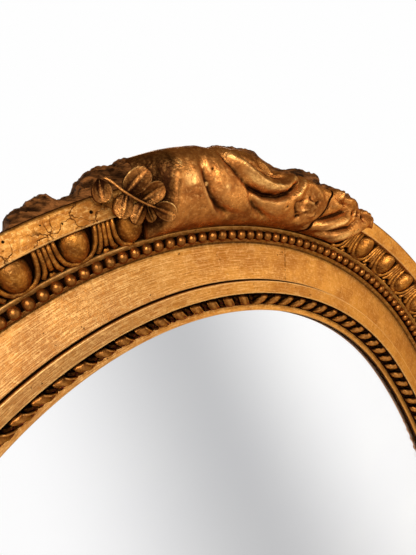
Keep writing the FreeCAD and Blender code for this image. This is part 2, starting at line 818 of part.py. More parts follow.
def leaf(root, direction):
    """A pointed leaf with a raised midrib, flat behind."""
    along = V(math.cos(math.radians(direction)), 0, math.sin(math.radians(direction)))
    side = along.cross(FORWARD)
    sections = []
    for share, half, rise in LEAF_OUTLINE_SHARES:
        middle = root + along * (share * number("leaf_length"))
        reach = side * (half * number("leaf_width") / 2)
        lift = FORWARD * (rise * number("leaf_rise"))
        sections.append([middle - reach, middle + lift, middle + reach])
    return faceted(sections)


stem_height = number("laurel_height")
stem_width = number("laurel_stem_width")
joints = [laurel_place(along, down, stem_height + rise * stem_width) for along, down, rise in STEM_SHARES]
spray = bar(joints[0], joints[1], stem_width)
for start, end in zip(joints[1:], joints[2:]):
    spray = spray.fuse(bar(start, end, stem_width))
for along, down, direction in LEAF_SHARES:
    spray = spray.fuse(leaf(laurel_place(along, down, stem_height), direction))
for neighbour in (moulding_top, drape_main, course_solids["eggs", "top"].Shape, course_solids["darts", "top"].Shape):
    spray = spray.cut(neighbour)
shaped("laurel_spray", largest(spray))


# Ring hangers on the back of the two side segments: strap with a rolled knuckle, and a ring that swings in it
def cylinder(name, radius, length, base):
    """A bar along X with its middle at a place relative to the pivot."""
    piece = add("Part::Cylinder", name)
    piece.setExpression("Radius", expr(radius))
    piece.setExpression("Height", expr(length))
    piece.Placement = FreeCAD.Placement(V(0, 0, 0), FreeCAD.Rotation(V(0, 1, 0), 90))
    piece.setExpression("Placement.Base.x", expr(f"{base} - ({length}) / 2"))
    piece.setExpression("Placement.Base.y", expr("pivot_depth"))
    piece.setExpression("Placement.Base.z", expr(HANGER_Z))
    return piece


HANGER_Z = "(side_radius - hanger_inset) * sin(hanger_angle)"
HANGER_X = "((side_radius - hanger_inset) * cos(hanger_angle) - side_offset)"


def bend(name, radius, sweep, start, across, down):
    """A length of bent ring wire in the plane of the back."""
    piece = add("Part::Torus", name)
    piece.setExpression("Radius1", expr(radius))
    piece.setExpression("Radius2", expr("ring_wire_radius"))
    piece.Angle3 = sweep
    turn = FreeCAD.Rotation(V(1, 0, 0), 90).multiply(FreeCAD.Rotation(V(0, 0, 1), start))
    piece.Placement = FreeCAD.Placement(V(0, 0, 0), turn)
    piece.setExpression("Placement.Base.x", expr(f"{HANGER_X} + {across}"))
    piece.setExpression("Placement.Base.y", expr("pivot_depth"))
    piece.setExpression("Placement.Base.z", expr(f"{HANGER_Z} - ({down})"))
    return piece


def leg(name, across):
    piece = add("Part::Cylinder", name)
    piece.setExpression("Radius", expr("ring_wire_radius"))
    piece.setExpression("Height", expr("ring_leg_length"))
    piece.setExpression("Placement.Base.x", expr(f"{HANGER_X} + {across}"))
    piece.setExpression("Placement.Base.y", expr("pivot_depth"))
    piece.setExpression("Placement.Base.z", expr(f"{HANGER_Z} - ring_corner_radius - ring_leg_length"))
    return piece


plate = add("Part::Box", "strap_plate")
plate.setExpression("Length", expr("strap_width"))
plate.setExpression("Width", expr("strap_thickness"))
plate.setExpression("Height", expr("strap_length"))
plate.setExpression("Placement.Base.x", expr(f"{HANGER_X} - strap_width / 2"))
plate.setExpression("Placement.Base.z", expr(f"{HANGER_Z} - strap_length"))
knuckle = cylinder("strap_knuckle", "knuckle_radius", "strap_width", HANGER_X)
bore = cylinder("strap_bore", "ring_wire_radius + ring_clearance", "2 * strap_width", HANGER_X)
strap_blank = joined("Part::Fuse", "strap_blank", Base=plate, Tool=knuckle)
strap_bored = joined("Part::Cut", "strap_bored", Base=strap_blank, Tool=bore)
strap_right = joined("Part::Cut", "hanger_strap_right", Base=strap_bored, Tool=holes["hanger_screws"])
joined("Part::Mirroring", "hanger_strap_left", Source=strap_right, Normal=V(1, 0, 0))

SIDE = "ring_half_width"
CORNER = "(ring_half_width - ring_corner_radius)"
ring_pieces = [
    cylinder("ring_bar", "ring_wire_radius", f"2 * {CORNER}", HANGER_X),
    bend("ring_corner_right", "ring_corner_radius", 90, 0, CORNER, "ring_corner_radius"),
    bend("ring_corner_left", "ring_corner_radius", 90, 90, f"-{CORNER}", "ring_corner_radius"),
    leg("ring_leg_right", SIDE),
    leg("ring_leg_left", f"-{SIDE}"),
    bend("ring_bow", SIDE, 180, 180, "0", "ring_corner_radius + ring_leg_length"),
]
ring_right = joined("Part::MultiFuse", "hanger_ring_right", Shapes=ring_pieces)
joined("Part::Mirroring", "hanger_ring_left", Source=ring_right, Normal=V(1, 0, 0))
doc.recompute()

# Pieces of the mirror, each with its own file
SUB_PARTS = [f"{kind}_{side}" for kind in ("frame_segment", "slip", "bead_course", "twist_course", "eggs", "darts")
             for side in SEGMENTS]
SUB_PARTS += ["segment_tongues", "mirror_plate", "glazing_blocks", "backboard_left", "backboard_centre",
              "backboard_right", "backboard_screws", "crest_drape", "crest_drape_right", "crest_ground_left",
              "crest_ground_right", "laurel_spray", "crest_screws", "hanger_strap_left", "hanger_strap_right",
              "hanger_ring_left", "hanger_ring_right", "hanger_screws"]

for item in doc.Objects:
    if "Invalid" in item.State or "Error" in item.State:
        raise RuntimeError(f"{item.Label} failed: {item.State}")
for name in SUB_PARTS:
    shape = doc.getObject(name).Shape
    if shape.isNull() or not shape.isValid() or not shape.Solids:
        raise RuntimeError(f"{name} has no valid solid")
for name in SUB_PARTS:
    shape = doc.getObject(name).Shape
    shape.exportStep(f"parts/{name}.step")
    print(name, len(shape.Solids), "solids,", round(shape.Volume), "cubic mm")
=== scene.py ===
"""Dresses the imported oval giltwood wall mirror: worn gilding, ornament, silvered glass and planked back."""

import logging
import math
from dataclasses import dataclass, field
from enum import Enum
from typing import Any, Optional, Sequence

import bpy
import numpy as np
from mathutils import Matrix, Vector
from mathutils import noise as fractal

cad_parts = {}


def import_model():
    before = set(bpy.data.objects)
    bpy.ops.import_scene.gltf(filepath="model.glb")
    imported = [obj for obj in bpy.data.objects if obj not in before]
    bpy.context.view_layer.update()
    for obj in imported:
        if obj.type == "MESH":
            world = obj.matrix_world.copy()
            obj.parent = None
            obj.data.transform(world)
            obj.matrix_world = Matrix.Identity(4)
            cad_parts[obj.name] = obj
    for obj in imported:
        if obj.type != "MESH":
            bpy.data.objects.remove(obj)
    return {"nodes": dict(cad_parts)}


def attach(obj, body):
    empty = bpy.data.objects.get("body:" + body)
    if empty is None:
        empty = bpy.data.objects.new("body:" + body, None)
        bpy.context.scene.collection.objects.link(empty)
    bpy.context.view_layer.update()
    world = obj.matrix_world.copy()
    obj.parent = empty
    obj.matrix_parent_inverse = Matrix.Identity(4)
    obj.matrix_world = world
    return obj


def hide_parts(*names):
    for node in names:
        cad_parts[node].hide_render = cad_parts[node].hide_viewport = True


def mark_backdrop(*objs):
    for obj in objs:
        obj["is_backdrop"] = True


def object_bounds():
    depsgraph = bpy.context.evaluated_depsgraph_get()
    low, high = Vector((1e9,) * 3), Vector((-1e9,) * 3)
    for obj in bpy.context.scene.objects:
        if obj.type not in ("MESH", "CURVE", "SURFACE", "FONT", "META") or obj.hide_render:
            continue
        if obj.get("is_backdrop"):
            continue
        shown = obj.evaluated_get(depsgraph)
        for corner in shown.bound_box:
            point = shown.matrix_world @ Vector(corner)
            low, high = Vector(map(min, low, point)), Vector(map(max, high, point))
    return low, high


MM = 0.001
MIRROR_BODY = "mirror"
log = logging.getLogger("mirror")


# Colours and nodes
MIX, RAMP, MATH, VECTOR = "ShaderNodeMix", "ShaderNodeMapRange", "ShaderNodeMath", "ShaderNodeVectorMath"
PLACE, MARK, NOISE, STRETCH = "ShaderNodeTexCoord", "ShaderNodeAttribute", "ShaderNodeTexNoise", "ShaderNodeMapping"
AXES, POINT, SHADER, BUMP = (
    "ShaderNodeSeparateXYZ", "ShaderNodeCombineXYZ", "ShaderNodeBsdfPrincipled", "ShaderNodeBump")
TINT = {"data_type": "RGBA"}
SMOOTH = {"interpolation_type": "SMOOTHSTEP"}
TIMES, PLUS, MINUS, LARGER = (
    {"operation": name, "use_clamp": True} for name in ("MULTIPLY", "ADD", "SUBTRACT", "MAXIMUM"))


def linear(code: str) -> tuple[float, float, float, float]:
    """Turns an sRGB hex colour to linear.

    Args:
        code: Six hex digits with a leading hash.

    Returns:
        Linear red, green and blue with a full alpha.
    """
    values = [int(code[i : i + 2], 16) / 255 for i in (1, 3, 5)]
    red, green, blue = (v / 12.92 if v <= 0.04045 else ((v + 0.055) / 1.055) ** 2.4 for v in values)
    return red, green, blue, 1.0


def socket(sockets: Any, key: Any) -> Any:
    """Finds a socket.

    Args:
        sockets: A node's inputs or outputs.
        key: The socket's index, identifier or name.

    Returns:
        The socket.
    """
    if isinstance(key, int):
        return sockets[key]
    return next((s for s in sockets if s.identifier == key), None) or sockets[key]


def node(tree: Any, kind: str, settings: Optional[dict] = None, inputs: Any = (), out: Any = 0) -> Any:
    """Adds a node with its settings and links.

    Args:
        tree: The node tree that takes it.
        kind: Blender's type name.
        settings: Properties of the node.
        inputs: Values, or output sockets to link, by socket name or in the sockets' order.
        out: The output to hand back.

    Returns:
        The output socket, or the node itself where it has none.
    """
    made = tree.nodes.new(kind)
    for name, value in (settings or {}).items():
        setattr(made, name, value)
    for key, value in inputs.items() if isinstance(inputs, dict) else enumerate(inputs):
        target = socket(made.inputs, key)
        if isinstance(value, bpy.types.NodeSocket):
            tree.links.new(value, target)
        else:
            target.default_value = value
    return socket(made.outputs, out) if made.outputs else made


def layered(tree: Any, colour: Any, rows: Sequence[tuple[Any, float, float, Any, str]]) -> Any:
    """Lays tones over a colour, each where a value passes smoothly from one bound to another.

    Args:
        tree: The node tree that takes the nodes.
        colour: The colour underneath.
        rows: For each tone the value, its two bounds, the tone's full strength and the tone.

    Returns:
        The colour on top.
    """
    for value, low, high, share, tone in rows:
        mask = node(tree, RAMP, SMOOTH, (value, low, high, 0.0, share))
        colour = node(tree, MIX, TINT, {
            "Factor_Float": mask, "A_Color": colour, "B_Color": linear(tone)}, "Result_Color")
    return colour


def new_material(name: str) -> tuple[Any, Any]:
    """Makes an empty material.

    Args:
        name: The material's name.

    Returns:
        The material and its tree.
    """
    material = bpy.data.materials.new(name)
    material.use_nodes = True
    material.node_tree.nodes.clear()
    return material, material.node_tree


# Finishes
GRAIN_MM, SPECK_MM = 1.6, 2.6
# Length, breadth and unevenness of the streaks on the flats and the smudges on the band
STREAK, SMUDGE = (19.0, 0.7, 0.8), (11.0, 3.4, 0.72)
STREAK_TONE, SMUDGE_DARK, SMUDGE_PALE = "#7a461a", "#8a4f1e", "#eeb565"
SMUDGE_DARK_SHARE, SMUDGE_PALE_SHARE = 0.85, 0.45
# Painted sheen: a duller, paler tone over the left of the flats and the band, standing in for the whiter sheen there,
# with where it comes in and the streaks go out, in metres along X
LEFT_SHEEN_ON_FLATS, LEFT_SHEEN_ON_BAND, LEFT_SHEEN_SHARE = "#966b42", "#a4682a", 0.68
LEFT_SHEEN_FROM_TO, STREAKS_FROM_TO = (-0.01, -0.14), (-0.03, 0.10)
# A darker tone round the spray's foot: its middle as an angle, inset and height, and its reach in metres
SPRAY_FOOT_DARK_AT, SPRAY_FOOT_DARK_FROM_TO, SPRAY_FOOT_DARK_TONE, SPRAY_FOOT_DARK_SHARE = (-21.0, 5, 55), (0.030, 0.010), "#6e3d16", 0.38
CRACK_CELL_MM, CRACK_PATCH_MM, CRACK_BEND_MM, CRACK_TONE = 14, 34, 9, "#532d0e"
# How far the cracks bend, and their width as a share of a cell
CRACK_BEND, CRACK_FROM_TO = 0.014, (0.032, 0.010)
# An open seam across the flat, with half its length and width, and insect holes with their radius in millimetres
SEAM_AT, SEAM_LENGTH, SEAM_WIDTH, SEAM_TONE = (7.2, 58.5, 33), (17 * MM, 14 * MM), (0.6 * MM, 0.2 * MM), "#4a250a"
HOLE_TONE = "#0e0501"
GESSO_HOLES = (
    (-30.7, 4.8, 55, 0.8), (-22.7, 8.4, 55, 1.1), (-25.6, 8.9, 55, 0.6), (-27.4, 5.2, 55, 0.5), (-21.5, 6.0, 55, 0.5),
    (6.6, 51.0, 32, 0.6), (2.2, 50.0, 32, 0.5))


@dataclass(frozen=True)
class Gilding:
    """Gold leaf over gesso, with wear and painted highlights on the edges, and dirt and painted shade in the hollows.
    """

    name: str
    gold: str
    shade: str
    deep: str
    bright: str
    metallic: float
    roughness: float
    mottle_mm: float
    fleck: float
    bump_mm: float
    fleck_mm: float = 2.4
    streak: float = 0.0
    crackle: float = 0.0

    def build(self) -> Any:
        """Makes the material.

        Returns:
            The material.
        """
        material, tree = new_material(self.name)
        place = node(tree, PLACE, out="Object")
        hollow, rub, crazed = (
            node(tree, MARK, {"attribute_name": mark}, out="Fac") for mark in ("hollow", "rub", "craze"))
        mottle, grain, fleck, speck = (
            node(tree, NOISE, {}, {"Vector": place, "Scale": 1 / (size * MM), "Detail": detail, "Roughness": uneven})
            for size, detail, uneven in ((self.mottle_mm, 5.0, 0.62), (GRAIN_MM, 3.0, 0.6),
                                         (self.fleck_mm, 4.0, 0.68), (SPECK_MM, 2.0, 0.5)))
        colour = layered(tree, linear(self.gold), [(mottle, 0.36, 0.66, 1.0, self.shade)])
        height = node(tree, MATH, {"operation": "MULTIPLY_ADD"}, (fleck, 1.3, grain))
        rows: list = []
        if self.streak:
            course = node(tree, MARK, {"attribute_name": "course"}, out="Vector")
            drawn = [node(tree, STRETCH, {"vector_type": "POINT"}, {
                "Vector": course, "Scale": (1 / (along * MM), 1 / (across * MM), 1.0)})
                for along, across, _ in (STREAK, SMUDGE)]
            line, smudge = (
                node(tree, NOISE, {}, {"Vector": way, "Scale": 1.0, "Detail": 6.0, "Roughness": uneven})
                for way, (_, _, uneven) in zip(drawn, (STREAK, SMUDGE)))
            aside = node(tree, AXES, {}, (place,), "X")
            # Painted sheen: the left part is dulled and paled by its position alone, less so in the dark places
            film = node(tree, MATH, MINUS, (
                node(tree, RAMP, SMOOTH, (aside, *LEFT_SHEEN_FROM_TO, 0.0, LEFT_SHEEN_SHARE)), hollow))
            rubbed = node(tree, MIX, TINT, {"Factor_Float": crazed, "A_Color": linear(LEFT_SHEEN_ON_FLATS),
                                            "B_Color": linear(LEFT_SHEEN_ON_BAND)}, "Result_Color")
            colour = node(tree, MIX, TINT, {
                "Factor_Float": film, "A_Color": colour, "B_Color": rubbed}, "Result_Color")
            kept = node(tree, RAMP, SMOOTH, (aside, *STREAKS_FROM_TO, 1.0, 0.3))
            crazed = node(tree, MATH, TIMES, (crazed, kept))
            calm = node(tree, RAMP, SMOOTH, (crazed, 0.0, 1.0, self.streak, self.streak * 0.25))
            calm = node(tree, MATH, TIMES, (calm, kept))
            rows = [(line, 0.48, 0.63, calm, self.bright), (line, 0.51, 0.33, calm, STREAK_TONE)]
            height = node(tree, MATH, {"operation": "ADD"}, (height, line))
        worn_off = node(tree, RAMP, SMOOTH, (crazed, 0.0, 1.0, self.fleck, min(1.0, self.fleck * 1.6)))
        rows += [(fleck, 0.51, 0.64, worn_off, self.shade), (fleck, 0.48, 0.36, worn_off, self.bright)]
        if self.crackle:
            spray_foot_dark, dulled, paled, cracked = (
                node(tree, MATH, TIMES, (crazed, share))
                for share in (SPRAY_FOOT_DARK_SHARE, SMUDGE_DARK_SHARE, SMUDGE_PALE_SHARE, self.crackle))
            crest, near = (node(tree, VECTOR, {"operation": "DISTANCE"}, (place, TOP.place(*spot)), "Value")
                           for spot in (SPRAY_FOOT_DARK_AT, SEAM_AT))
            bend, patch = (
                node(tree, NOISE, {}, {"Vector": place, "Scale": 1 / (size * MM), "Detail": detail}, out)
                for size, detail, out in ((CRACK_BEND_MM, 3.0, "Color"), (CRACK_PATCH_MM, 1.0, 0)))
            bent = node(tree, MIX, {"data_type": "VECTOR", "factor_mode": "UNIFORM"}, {
                "Factor_Float": CRACK_BEND, "A_Vector": place, "B_Vector": bend}, "Result_Vector")
            edge = node(tree, "ShaderNodeTexVoronoi", {"feature": "DISTANCE_TO_EDGE"}, {
                "Vector": bent, "Scale": 1 / (CRACK_CELL_MM * MM)}, "Distance")
            shown = node(tree, RAMP, SMOOTH, (patch, 0.26, 0.42, 0.0, cracked))
            crack = node(tree, RAMP, SMOOTH, (edge, *CRACK_FROM_TO, 0.0, shown))
            height = node(tree, MATH, {"operation": "SUBTRACT"}, (height, crack))
            middle, past = (TOP.place(SEAM_AT[0] + 90, TOP.radius - reach, 0) for reach in (0, 1))
            along = Vector(past - middle).normalized()
            offset = node(tree, VECTOR, {"operation": "SUBTRACT"}, (place, TOP.place(*SEAM_AT)))
            offset = node(tree, VECTOR, {"operation": "DOT_PRODUCT"}, (offset, along), "Value")
            offset = node(tree, MATH, {"operation": "ABSOLUTE"}, (offset,))
            seam = node(tree, RAMP, SMOOTH, (
                near, *SEAM_LENGTH, 0.0, node(tree, RAMP, SMOOTH, (fleck, 0.42, 0.56))))
            rows += [(crest, *SPRAY_FOOT_DARK_FROM_TO, spray_foot_dark, SPRAY_FOOT_DARK_TONE), (smudge, 0.47, 0.64, dulled, SMUDGE_DARK),
                     (smudge, 0.50, 0.36, paled, SMUDGE_PALE), (edge, *CRACK_FROM_TO, shown, CRACK_TONE),
                     (offset, *SEAM_WIDTH, seam, SEAM_TONE)]
            for *spot, radius in GESSO_HOLES:
                gap = node(tree, VECTOR, {"operation": "DISTANCE"}, (place, TOP.place(*spot)), "Value")
                rows.append((gap, radius * 1.25 * MM, radius * 0.75 * MM, 1.0, HOLE_TONE))
        # Painted shade with some dirt: the deep tone goes where a piece is marked dark, broken up by the fleck noise
        ragged = node(tree, MATH, {"operation": "MULTIPLY_ADD"}, (fleck, 0.5, -0.25))
        shade_and_dirt_mask = node(tree, MATH, TIMES, (
            node(tree, MATH, PLUS, (hollow, ragged)), node(tree, RAMP, SMOOTH, (hollow, 0.0, 0.35))))
        # Wear with painted highlights: the bright tone goes where a piece is marked bright, broken up by the fleck
        # noise
        bright_wear_and_highlights = node(tree, RAMP, SMOOTH, (fleck, 0.36, 0.56, 0.1, 1.0))
        rows += [(shade_and_dirt_mask, 0.05, 0.95, 1.0, self.deep), (rub, 0.1, 1.0, bright_wear_and_highlights, self.bright),
                 (speck, 0.70, 0.78, 1.0, self.deep)]
        rough = node(tree, RAMP, SMOOTH, (mottle, 0.3, 0.7, self.roughness - 0.07, self.roughness + 0.12))
        normal = node(tree, BUMP, {}, {"Strength": 0.6, "Distance": self.bump_mm * MM, "Height": height})
        shader = node(tree, SHADER, {}, {
            "Base Color": layered(tree, colour, rows), "Metallic": self.metallic, "Roughness": rough,
            "Normal": normal, "Specular IOR Level": 0.15, "Specular Tint": linear(self.bright)})
        node(tree, "ShaderNodeOutputMaterial", {}, {"Surface": shader})
        return material


@dataclass(frozen=True)
class HewnWood:
    """Bare wood with grain along one direction, sawn, hewn or planed, darkened by age."""

    name: str
    light: str
    dark: str
    grain_mm: tuple[float, float, float]
    roughness: float
    bump_mm: float
    shadow: str = "#1c0d05"
    cloud_mm: float = 40.0

    def build(self) -> Any:
        """Makes the material.

        Returns:
            The material.
        """
        material, tree = new_material(self.name)
        place = node(tree, PLACE, out="Object")
        drawn = node(tree, STRETCH, {}, {
            "Vector": place, "Scale": tuple(1 / (size * MM) for size in self.grain_mm)})
        grain = node(tree, NOISE, {}, {
            "Vector": drawn, "Scale": 1.0, "Detail": 6.0, "Roughness": 0.6, "Distortion": 0.4})
        cloud = node(tree, NOISE, {}, {"Vector": place, "Scale": 1 / (self.cloud_mm * MM), "Detail": 3.0})
        hollow = node(tree, MARK, {"attribute_name": "hollow"}, out="Fac")
        colour = layered(tree, linear(self.dark), [
            (grain, 0.32, 0.66, 1.0, self.light), (cloud, 0.40, 0.80, 0.6, self.dark),
            (hollow, 0.1, 0.9, 0.8, self.shadow)])
        normal = node(tree, BUMP, {}, {"Strength": 0.8, "Distance": self.bump_mm * MM, "Height": grain})
        shader = node(tree, SHADER, {}, {
            "Base Color": colour, "Roughness": self.roughness, "Normal": normal, "Specular IOR Level": 0.25,
            "Specular Tint": linear(self.light)})
        node(tree, "ShaderNodeOutputMaterial", {}, {"Surface": shader})
        return material


@dataclass(frozen=True)
class DullMetal:
    """Cast or rolled metal, handled and dulled, with a faint film over it."""

    name: str
    clean: str
    film: str
    roughness: float
    cloud_mm: float = 5.0

    def build(self) -> Any:
        """Makes the material.

        Returns:
            The material.
        """
        material, tree = new_material(self.name)
        place = node(tree, PLACE, out="Object")
        cloud = node(tree, NOISE, {}, {"Vector": place, "Scale": 1 / (self.cloud_mm * MM), "Detail": 5.0})
        colour = layered(tree, linear(self.clean), [(cloud, 0.35, 0.70, 1.0, self.film)])
        rough = node(tree, RAMP, SMOOTH, (cloud, 0.3, 0.7, self.roughness - 0.08, self.roughness + 0.12))
        shader = node(tree, SHADER, {}, {"Base Color": colour, "Metallic": 1.0, "Roughness": rough})
        node(tree, "ShaderNodeOutputMaterial", {}, {"Surface": shader})
        return material


@dataclass(frozen=True)
class Clouded:
    """A clean surface with a cloud in its colour that is barely there."""

    name: str
    clear: str
    clouded: str
    cloud_mm: float
    shader: tuple[tuple[str, float], ...]
    detail: float = 2.0
    bounds: Optional[tuple[float, float]] = None

    def build(self) -> Any:
        """Makes the material.

        Returns:
            The material.
        """
        material, tree = new_material(self.name)
        place = node(tree, PLACE, out="Object")
        cloud = node(tree, NOISE, {}, {"Vector": place, "Scale": 1 / (self.cloud_mm * MM), "Detail": self.detail})
        if self.bounds:
            cloud = node(tree, RAMP, SMOOTH, (cloud, *self.bounds))
        colour = node(tree, MIX, TINT, {
            "Factor_Float": cloud, "A_Color": linear(self.clear), "B_Color": linear(self.clouded)}, "Result_Color")
        shader = node(tree, SHADER, {}, {"Base Color": colour, **dict(self.shader)})
        node(tree, "ShaderNodeOutputMaterial", {}, {"Surface": shader})
        return material


class Finish(Enum):
    """The finishes of the mirror and its floor, each with the material that it stands for."""

    # Burnished flats and bands: warm yellow gold with fine streaks along the moulding
    FLAT = Gilding("water gilding on gesso", "#d08c3a", "#b6722b", "#2a1203", "#efbd76", metallic=0.75, roughness=0.45,
                   mottle_mm=22, fleck=0.32, bump_mm=0.22, streak=0.74, crackle=0.95)
    # Pressed eggs and darts: browner and glossier, with painted shade near black between the units
    PRESSED = Gilding("gilded pressed composition", "#bb782f", "#764419", "#120601", "#e2a455", metallic=0.86,
                      roughness=0.34, mottle_mm=9, fleck=0.42, bump_mm=0.55, fleck_mm=2.0)
    # Pearls and ribbon twist: rubbed down to a dark brown tone with a soft shine
    PEARL = Gilding("toned gilded pearls", "#875020", "#5e3512", "#100601", "#c58744", metallic=0.88,
                    roughness=0.31, mottle_mm=7, fleck=0.4, bump_mm=0.2, fleck_mm=2.2)
    # Carved drapery and laurel: brown gold, darkened in the folds by glazing and painted shade, and bright on the
    # ridges with wear and painted highlights
    CARVED = Gilding("glazed gilding on carved wood", "#cb8440", "#8a4f22", "#220d04", "#f6bd70", metallic=0.82,
                     roughness=0.31, mottle_mm=16, fleck=0.24, bump_mm=0.6, fleck_mm=2.2)
    # Rough-hewn ground: dark toned wood, matt and splintered
    HEWN = HewnWood("toned rough-hewn wood", "#945b2e", "#190b04", (9, 5, 3), 0.62, 4.4)
    # Planed pine boards at the back: pale grain along the length, greyed
    PINE = HewnWood("aged planed pine", "#c79c69", "#93693c", (2.2, 9, 80), 0.75, 0.2)
    # Bare limewood behind the mouldings: close grain, browned by handling
    LIME = HewnWood("bare limewood", "#9c6f40", "#6b4724", (2.8, 9, 60), 0.75, 0.2)
    # Rolled brass hangers: dull yellow
    BRASS = DullMetal("dull rolled brass", "#b8923f", "#6f5424", 0.36)
    # Plain steel screws: grey with a brown film
    STEEL = DullMetal("oiled plain steel", "#8b8985", "#4e443b", 0.38)
    # Clear plate glass: what lies behind it, with a faint shine of its own
    GLASS = Clouded("clear plate glass", "#ffffff", "#fefefe", 120,
                    (("Roughness", 0.0), ("IOR", 1.5), ("Transmission Weight", 1.0)), 1.0)
    # Silvering on the back of the glass: a clean, faintly cool reflection
    SILVER = Clouded("silvered glass back", "#ffffff", "#fdfdfe", 90, (("Metallic", 1.0), ("Roughness", 0.01)),
                     bounds=(0.3, 0.7))
    # Matt floor of the studio: pale and even
    FLOOR = Clouded("pale matt floor", "#f2f2f0", "#efefed", 1000 / 1.5, (("Roughness", 0.8),))

    def material(self) -> Any:
        """The finish's material, made once."""
        return bpy.data.materials.get(self.value.name) or self.value.build()


# Oval
@dataclass(frozen=True)
class Arc:
    """One of the oval's four arcs, with its middle turned clockwise from the top."""

    side: str
    radius: float
    half_angle: float
    turn: float
    offset: float

    def place(self, angle: Any, inset: Any, height: Any) -> np.ndarray:
        """Finds points on the moulding.

        Args:
            angle: Degrees clockwise from the arc's middle.
            inset: Millimetres inward from the outer edge.
            height: Millimetres forward from the back plane.

        Returns:
            Points in metres, with X, Y and Z last.
        """
        angle, inset, height = np.broadcast_arrays(*(np.asarray(v, float) for v in (angle, inset, height)))
        bearing = np.radians(angle + self.turn)
        middle = math.radians(self.turn)
        reach = self.radius - inset
        x = self.offset * math.sin(middle) + reach * np.sin(bearing)
        z = self.offset * math.cos(middle) + reach * np.cos(bearing)
        return np.stack([x, -height, z], axis=-1) * MM


@dataclass(frozen=True)
class Oval:
    """Four-centre oval over the outer edge of the frame, in millimetres and degrees."""

    width: float = 858.0
    height: float = 1076.0
    joint_angle: float = 45.33

    def arcs(self) -> dict[str, Arc]:
        """Works out the four arcs.

        Returns:
            Arcs by the side they are on.
        """
        joint = math.radians(self.joint_angle)
        centre = (self.height - self.width) / 2 / (1 + math.tan(joint) - 1 / math.cos(joint))
        offset = centre * math.tan(joint)
        end, side = self.height / 2 - centre, self.width / 2 + offset
        rest = 90 - self.joint_angle
        return {
            "top": Arc("top", end, self.joint_angle, 0, centre),
            "right": Arc("right", side, rest, 90, -offset),
            "bottom": Arc("bottom", end, self.joint_angle, 180, centre),
            "left": Arc("left", side, rest, -90, -offset),
        }


ARCS = Oval().arcs()
TOP = ARCS["top"]


# Meshes
def add_object(name: str, points: Any, faces: Any, marks: Optional[dict[str, Any]] = None,
               smooth: bool = True) -> Any:
    """Makes a mesh object at the origin.

    Args:
        name: The object's name.
        points: Vertices in metres.
        faces: Corner indices of each face.
        marks: Values for each vertex by attribute name.
        smooth: Whether the faces are shaded smooth.

    Returns:
        The object, linked to the scene.
    """
    mesh = bpy.data.meshes.new(name)
    mesh.from_pydata([tuple(p) for p in points], [], [tuple(int(i) for i in f) for f in faces])
    for mark, values in (marks or {}).items():
        mesh.attributes.new(mark, "FLOAT", "POINT").data.foreach_set("value", np.asarray(values, np.float32).ravel())
    mesh.polygons.foreach_set("use_smooth", [smooth] * len(mesh.polygons))
    mesh.validate()
    made = bpy.data.objects.new(name, mesh)
    bpy.context.scene.collection.objects.link(made)
    return made


def sheet_faces(rows: int, columns: int, round_columns: bool = False, caps: bool = False) -> list[tuple[int, ...]]:
    """Lists the faces of a grid of points.

    Args:
        rows: Rows of points.
        columns: Points in a row.
        round_columns: Whether each row closes on itself.
        caps: Whether the first and last rows are filled.

    Returns:
        Corner indices of each face.
    """
    faces = []
    for row in range(rows - 1):
        for column in range(columns if round_columns else columns - 1):
            after = (column + 1) % columns
            faces.append((row * columns + column, row * columns + after,
                          (row + 1) * columns + after, (row + 1) * columns + column))
    if caps:
        faces.append(tuple(range(columns))[::-1])
        faces.append(tuple((rows - 1) * columns + column for column in range(columns)))
    return faces


def outward(made: Any) -> Any:
    """Turns a closed mesh's faces outward if they point in.

    Args:
        made: The mesh's object.

    Returns:
        The same object.
    """
    mesh = made.data
    mesh.calc_loop_triangles()
    points = np.array([v.co for v in mesh.vertices])
    corners = np.array([t.vertices for t in mesh.loop_triangles])
    a, b, c = (points[corners[:, i]] for i in range(3))
    if np.einsum("ij,ij->i", a, np.cross(b, c)).sum() < 0:
        mesh.flip_normals()
    return made


# The step between two seeds, and how fast the finer layers of the roughness fade and shrink
SEED_STEP, LAYER_FADE, LAYER_SHRINK = 17.3, 0.8, 2.1


def rumple(points: np.ndarray, size_mm: float, seed: float, octaves: int = 3) -> np.ndarray:
    """Seeded fractal noise at points.

    Args:
        points: Points in metres, with X, Y and Z last.
        size_mm: The size of the largest lumps.
        seed: Shifts the pattern.
        octaves: How many finer layers are added.

    Returns:
        Values of about minus one to one.
    """
    flat = points.reshape(-1, 3) / (size_mm * MM) + seed * SEED_STEP
    values = [fractal.fractal(Vector(p), LAYER_FADE, LAYER_SHRINK, octaves) for p in flat]
    return np.array(values).reshape(points.shape[:-1])


def dress(made: Any, finish: Optional[Finish], node_name: str) -> None:
    """Gives a piece its finish and its place in the frame.

    Args:
        made: The piece.
        finish: Its finish, or None where it has its materials.
        node_name: The CAD node that it stands for.
    """
    if finish is not None:
        made.data.materials.append(finish.material())
    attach(made, MIRROR_BODY)
    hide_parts(node_name)
    log.info("%s: %d faces", made.name, len(made.data.polygons))


